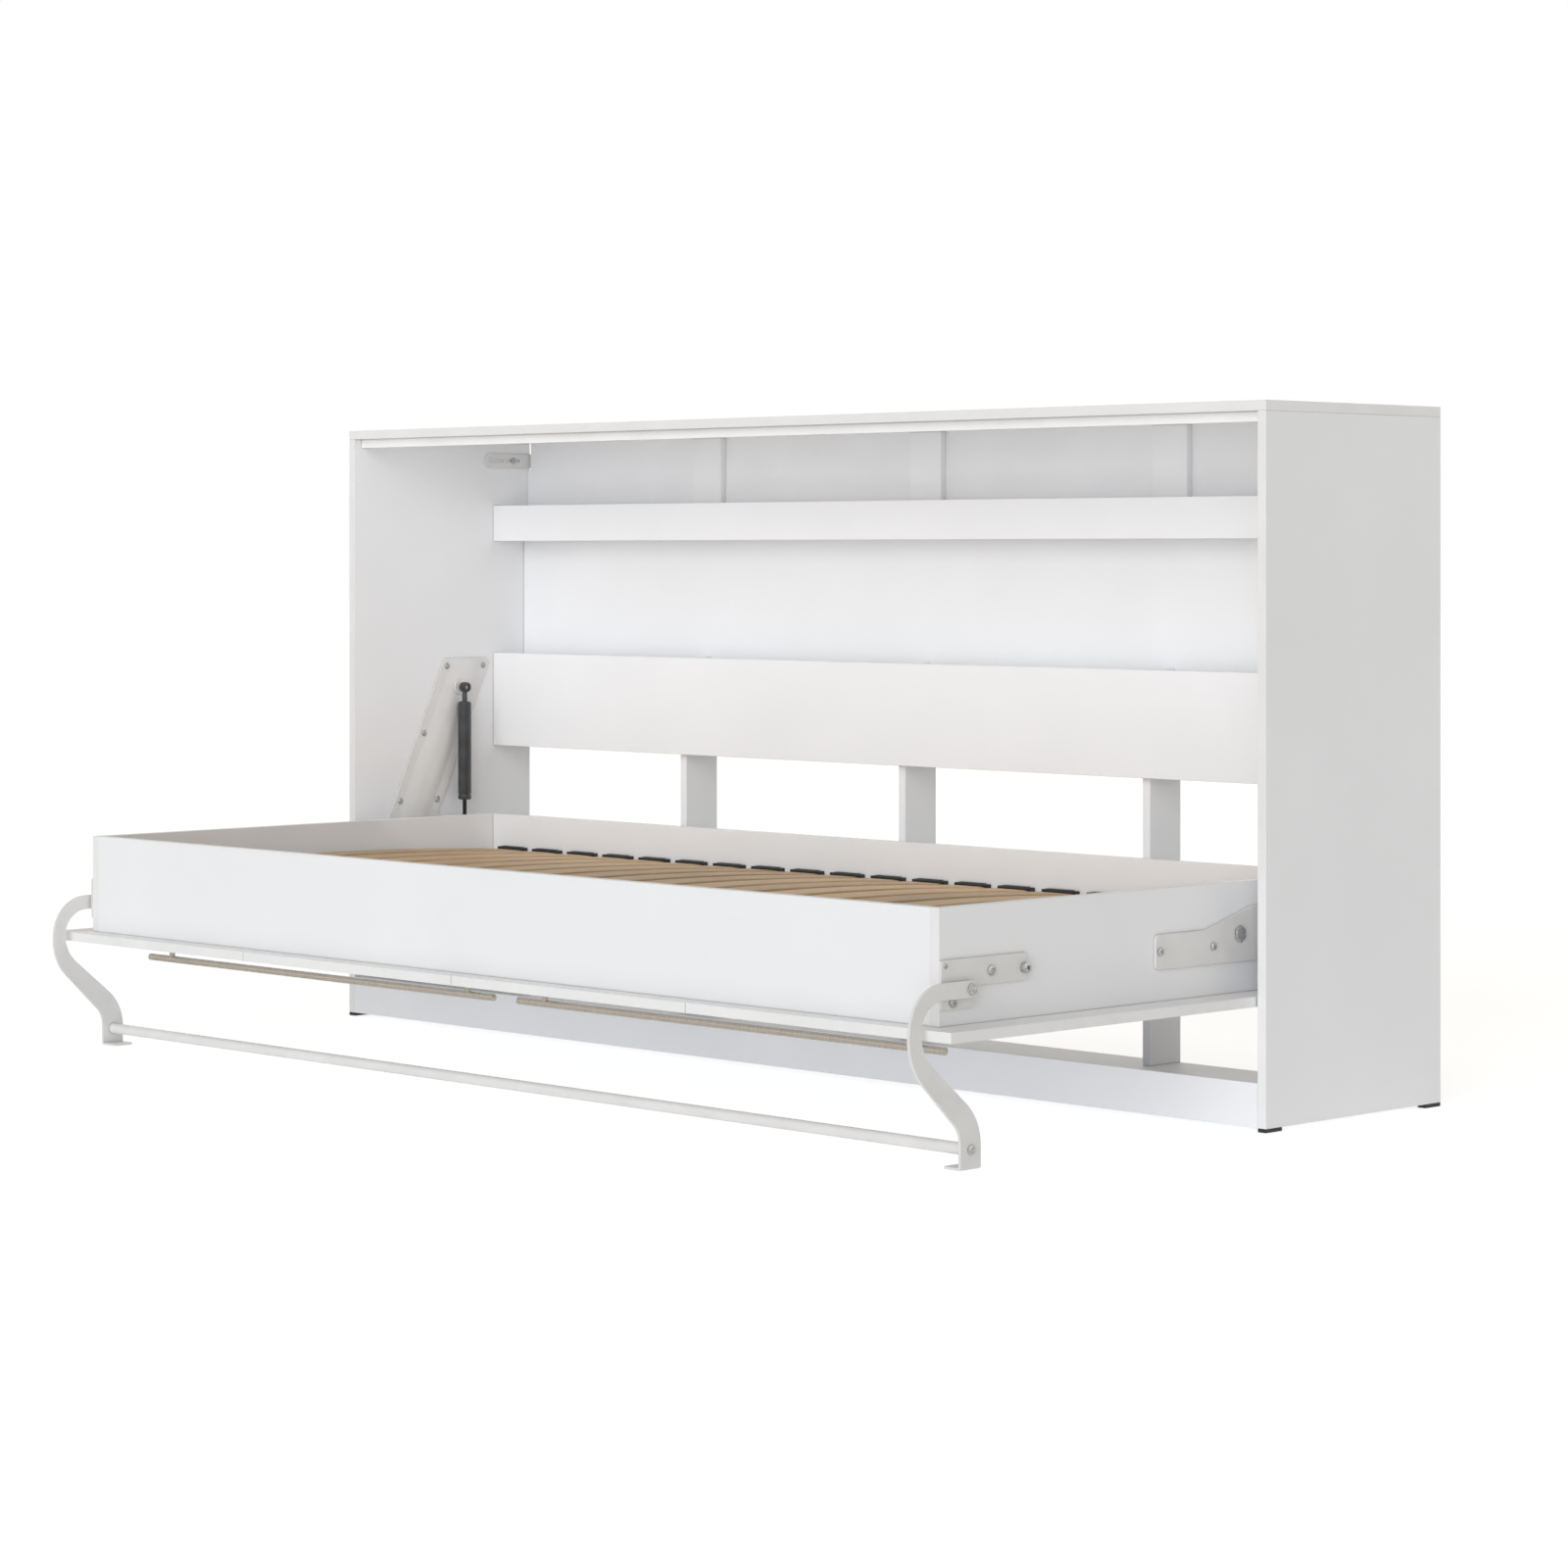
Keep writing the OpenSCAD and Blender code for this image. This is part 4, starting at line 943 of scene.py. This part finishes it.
def make_springs():
    sizes, _, _ = settings()
    steps = sizes.turned_steps
    socket_r, neck_r, tube_l = sizes.socket, 5 * MM, sizes.spring_tube
    for side, sign in SIDES.items():
        low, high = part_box(side + "_gas_cylinder")
        rod_low, rod_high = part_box(side + "_gas_rod")
        axis_x, axis_y = (rod_low.x + rod_high.x) / 2, (rod_low.y + rod_high.y) / 2
        radius = (high.y - low.y) / 2
        upper = Vector((axis_x, axis_y, high.z - socket_r))
        bm = bmesh.new()
        rod_hole, hollow_l = 4.4 * MM, tube_l * 0.9
        groove = [(distance * MM, radius - depth * MM) for distance, depth in
                  [(9, 0), (9.8, 0.9), (11.6, 0.9), (12.4, 0)]]
        rolled = [(0, rod_hole), (0.4 * MM, radius - 4 * MM), (0.2 * MM, radius - 2.2 * MM),
                  (1.2 * MM, radius - 0.7 * MM), (2.8 * MM, radius)]
        top = [(tube_l - 5 * MM, radius), (tube_l - 2.4 * MM, radius - 0.9 * MM),
               (tube_l - 0.6 * MM, radius - 3.2 * MM), (tube_l, radius - 5.5 * MM), (tube_l, neck_r)]
        neck = [(upper.z - low.z - socket_r * 0.8, neck_r), (upper.z - low.z - socket_r * 0.8, 0)]
        turned(bm, rolled + groove + top + neck, (0, 0, 1), (axis_x, axis_y, low.z), steps)
        hollow = [(0, rod_hole), (hollow_l, rod_hole), (hollow_l, 0)]
        turned(bm, hollow, (0, 0, 1), (axis_x, axis_y, low.z), steps)
        socket_drum(bm, upper, sign, sizes)
        piece_from(bm, side + "_spring_tube", ["spring_steel"], side + "_gas_cylinder")

        bm = bmesh.new()
        rod_r = 4 * MM
        turned(bm, rounded_end(0, rod_r, 0.5 * MM) +
               rounded_end(rod_high.z - rod_low.z, rod_r, 0.5 * MM, start=False),
               (0, 0, 1), (axis_x, axis_y, rod_low.z), steps)
        piece_from(bm, side + "_spring_rod", ["nitrided_rod"], side + "_gas_rod")

        low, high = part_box(side + "_lower_joint")
        base_r, stud_r, ball_r, base_h = sizes.stud_base, 4 * MM, sizes.ball, 3 * MM
        centre = Vector((axis_x, axis_y, low.z + base_r))
        base_x = low.x if sign > 0 else high.x
        reach = abs(axis_x - base_x)
        first = math.asin(stud_r / ball_r)
        ball = [(reach - ball_r * math.cos(t), ball_r * math.sin(t)) for t in
                [first + (math.pi - first) * i / 12 for i in range(13)]]
        bm = bmesh.new()
        turned(bm, [(0, 0), (0, base_r), (base_h - 0.6 * MM, base_r), (base_h, base_r - 0.6 * MM),
                    (base_h, stud_r)] + ball[:-1] + [(reach + ball_r, 0)],
               (sign, 0, 0), (base_x, axis_y, centre.z), steps)
        socket_drum(bm, centre, -sign, sizes)
        lock_h = 6 * MM
        turned(bm, [(socket_r * 0.8, 0), (socket_r * 0.8, neck_r), (high.z - centre.z - lock_h, neck_r),
                    (high.z - centre.z, neck_r), (high.z - centre.z, 0)],
               (0, 0, 1), centre, steps)
        turned(bm, [(0, 0), (0, neck_r + 0.6 * MM), (lock_h * 0.8, neck_r + 0.6 * MM), (lock_h, neck_r),
                    (lock_h, 0)], (0, 0, 1), (axis_x, axis_y, high.z - lock_h), 6)
        piece_from(bm, side + "_lower_ball_joint", ["spring_steel"], side + "_lower_joint")
    softened("upper_ball_studs", 0.5 * MM, "coated_steel")


def make_small_parts():
    sizes, _, _ = settings()
    softened("floor_glides", sizes.plastic_edge, "black_plastic")
    softened("pivot_bushes", 0.4 * MM, "black_plastic")
    softened("pivot_pins", 0.5 * MM, "zinc_steel")
    softened("handle_screws", 0.5 * MM, "zinc_steel")


# ---------------------------------------------------------------- studio

def placed_light(name, kind, place, heading, **values):
    """A light that the camera and reflections don't see, pointing along heading."""
    light = bpy.data.lights.new(name, kind)
    for key, value in values.items():
        setattr(light, key, value)
    thing = bpy.data.objects.new(name, light)
    thing.location = place
    thing.rotation_euler = Vector(heading).to_track_quat("-Z", "Y").to_euler()
    thing.visible_camera = thing.visible_glossy = False
    bpy.context.scene.collection.objects.link(thing)


def make_lights(stage):
    """Two wide soft lights from the room, one high and one low, and one over the cabinet's
    opening that lights the bay as a pale room would."""
    for name, heading, strength in (
            ("high_light", (-0.42, 1.0, -0.3), stage.key),
            ("low_light", (-0.42, 1.0, 0.35), stage.fill)):
        placed_light(name, "SUN", (0, 0, 0), heading, energy=strength, angle=stage.key_spread,
                     color=linear("#F8FBFF")[:3])
    side_low, side_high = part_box("right_side_panel")
    bed_top, opening_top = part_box("right_bed_side")[1].z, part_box("door_stop_board")[0].z
    placed_light("bay_light", "AREA", (0, side_low.y, (bed_top + opening_top) / 2), (0, 1, 0),
                 shape="RECTANGLE", size=2 * side_low.x, size_y=opening_top - bed_top, energy=stage.bay)


def backdrop_paint(stage):
    """Matt white paint that glows where the camera sees it, so that the floor reads white."""
    made, tree, bsdf, _ = material("studio_floor_paint", **{
        "Base Color": linear("#F2F2F2"), "Roughness": 0.9, "Specular IOR Level": 0.1,
        "Emission Color": (1, 1, 1, 1)})
    seen = add(tree, "ShaderNodeLightPath").outputs["Is Camera Ray"]
    glow = add(tree, "ShaderNodeMapRange", {
        "Value": seen, "To Min": stage.floor_lit, "To Max": stage.floor_seen}).outputs[0]
    tree.links.new(glow, bsdf.inputs["Emission Strength"])
    return made


def make_world(stage):
    """Even light on the bed, and a backdrop of its own brightness behind it."""
    world = bpy.data.worlds.new("studio")
    bpy.context.scene.world = world
    world.use_nodes = True
    tree = world.node_tree
    tree.nodes.clear()
    path = add(tree, "ShaderNodeLightPath").outputs
    seen = path["Is Camera Ray"]
    light = add(tree, "ShaderNodeMapRange", {
        "Value": path["Is Glossy Ray"], "To Min": stage.sky, "To Max": stage.mirrored}).outputs[0]
    even = add(tree, "ShaderNodeBackground", {"Color": linear("#FFFAF2"), "Strength": light})
    back = add(tree, "ShaderNodeBackground", {"Color": (1, 1, 1, 1), "Strength": stage.backdrop})
    mix = add(tree, "ShaderNodeMixShader", {0: seen, 1: even.outputs[0], 2: back.outputs[0]})
    add(tree, "ShaderNodeOutputWorld", {"Surface": mix.outputs[0]})


def make_studio():
    _, _, stage = settings()
    bm = bmesh.new()
    reach = 40.0
    bm.faces.new([bm.verts.new((x * reach, y * reach, -0.5 * MM))
                  for x, y in ((-1, -1), (1, -1), (1, 1), (-1, 1))])
    floor = object_from(bm, "studio_floor")
    floor.data.materials.append(backdrop_paint(stage))
    make_world(stage)
    floor.visible_shadow = False
    make_lights(stage)
    view = Vector((-math.sin(stage.turn), math.cos(stage.turn), 0))
    right = Vector((math.cos(stage.turn), math.sin(stage.turn), 0))
    camera_data = bpy.data.cameras.new("studio_camera")
    camera_data.lens, camera_data.sensor_width = stage.lens, 36.0
    camera_data.shift_x, camera_data.shift_y = stage.shift
    camera = bpy.data.objects.new("studio_camera", camera_data)
    camera.location = right * stage.aside - view * stage.distance + Vector((0, 0, stage.height))
    camera.rotation_euler = (math.pi / 2, 0, stage.turn)
    bpy.context.scene.collection.objects.link(camera)
    bpy.context.scene.camera = camera
    bpy.context.scene.view_settings.view_transform = "Standard"


# ---------------------------------------------------------------- operators and panel

class WALLBED_OT_finishes(bpy.types.Operator):
    """Make the materials and give every part the finish of its slot"""
    bl_idname = "wall_bed.finishes"
    bl_label = "Finishes"

    def execute(self, context):
        make_finishes()
        dress_cad()
        return {"FINISHED"}


class WALLBED_OT_boards(bpy.types.Operator):
    """Edge the cabinet's, the bed's and the door's boards"""
    bl_idname = "wall_bed.boards"
    bl_label = "Boards"

    def execute(self, context):
        make_boards()
        return {"FINISHED"}


class WALLBED_OT_slat_base(bpy.types.Operator):
    """Bend the slats and set them in their end caps on the ledges"""
    bl_idname = "wall_bed.slat_base"
    bl_label = "Slat base"

    def execute(self, context):
        make_slats()
        make_holders()
        return {"FINISHED"}


class WALLBED_OT_plates(bpy.types.Operator):
    """Round the edges of the pressed steel brackets and plates"""
    bl_idname = "wall_bed.plates"
    bl_label = "Brackets and plates"

    def execute(self, context):
        make_plates()
        return {"FINISHED"}


class WALLBED_OT_fasteners(bpy.types.Operator):
    """Drive the screws, bolts and nuts"""
    bl_idname = "wall_bed.fasteners"
    bl_label = "Fasteners"

    def execute(self, context):
        make_fasteners()
        return {"FINISHED"}


class WALLBED_OT_handles(bpy.types.Operator):
    """Turn the handle bars and their posts"""
    bl_idname = "wall_bed.handles"
    bl_label = "Handles"

    def execute(self, context):
        make_handles()
        return {"FINISHED"}


class WALLBED_OT_leg(bpy.types.Operator):
    """Finish the folding leg"""
    bl_idname = "wall_bed.leg"
    bl_label = "Folding leg"

    def execute(self, context):
        make_leg()
        return {"FINISHED"}


class WALLBED_OT_springs(bpy.types.Operator):
    """Build the gas springs and their ball joints"""
    bl_idname = "wall_bed.springs"
    bl_label = "Gas springs"

    def execute(self, context):
        make_springs()
        return {"FINISHED"}


class WALLBED_OT_small_parts(bpy.types.Operator):
    """Finish the glides, bushes and pins"""
    bl_idname = "wall_bed.small_parts"
    bl_label = "Small parts"

    def execute(self, context):
        make_small_parts()
        return {"FINISHED"}


class WALLBED_OT_studio(bpy.types.Operator):
    """Set the floor, the lights and the camera"""
    bl_idname = "wall_bed.studio"
    bl_label = "Studio"

    def execute(self, context):
        make_studio()
        return {"FINISHED"}


STEPS = [WALLBED_OT_studio, WALLBED_OT_finishes, WALLBED_OT_boards, WALLBED_OT_slat_base,
         WALLBED_OT_plates, WALLBED_OT_fasteners, WALLBED_OT_handles, WALLBED_OT_leg,
         WALLBED_OT_springs, WALLBED_OT_small_parts]


class WALLBED_PT_panel(bpy.types.Panel):
    """Lists the steps that dress the wall bed"""
    bl_idname = "WALLBED_PT_panel"
    bl_label = "Wall Bed"
    bl_space_type = "VIEW_3D"
    bl_region_type = "UI"
    bl_category = "Wall Bed"

    def draw(self, context):
        for group in settings():
            box = self.layout.box()
            for name in group.__annotations__:
                box.prop(group, name)
        for step in STEPS:
            self.layout.operator(step.bl_idname)


GROUPS = {"wall_bed_sizes": WallBedSizes, "wall_bed_colours": WallBedColours,
          "wall_bed_stage": WallBedStage}


def register():
    for kind in [*GROUPS.values(), *STEPS, WALLBED_PT_panel]:
        bpy.utils.register_class(kind)
    for name, kind in GROUPS.items():
        setattr(bpy.types.Scene, name, PointerProperty(type=kind))


def unregister():
    for name in GROUPS:
        delattr(bpy.types.Scene, name)
    for kind in reversed([*GROUPS.values(), *STEPS, WALLBED_PT_panel]):
        bpy.utils.unregister_class(kind)


def main():
    register()
    for step in STEPS:
        if getattr(bpy.ops.wall_bed, step.bl_idname.split(".")[1])() != {"FINISHED"}:
            raise RuntimeError(f"{step.bl_label} did not finish")


if __name__ == "__main__":
    main()
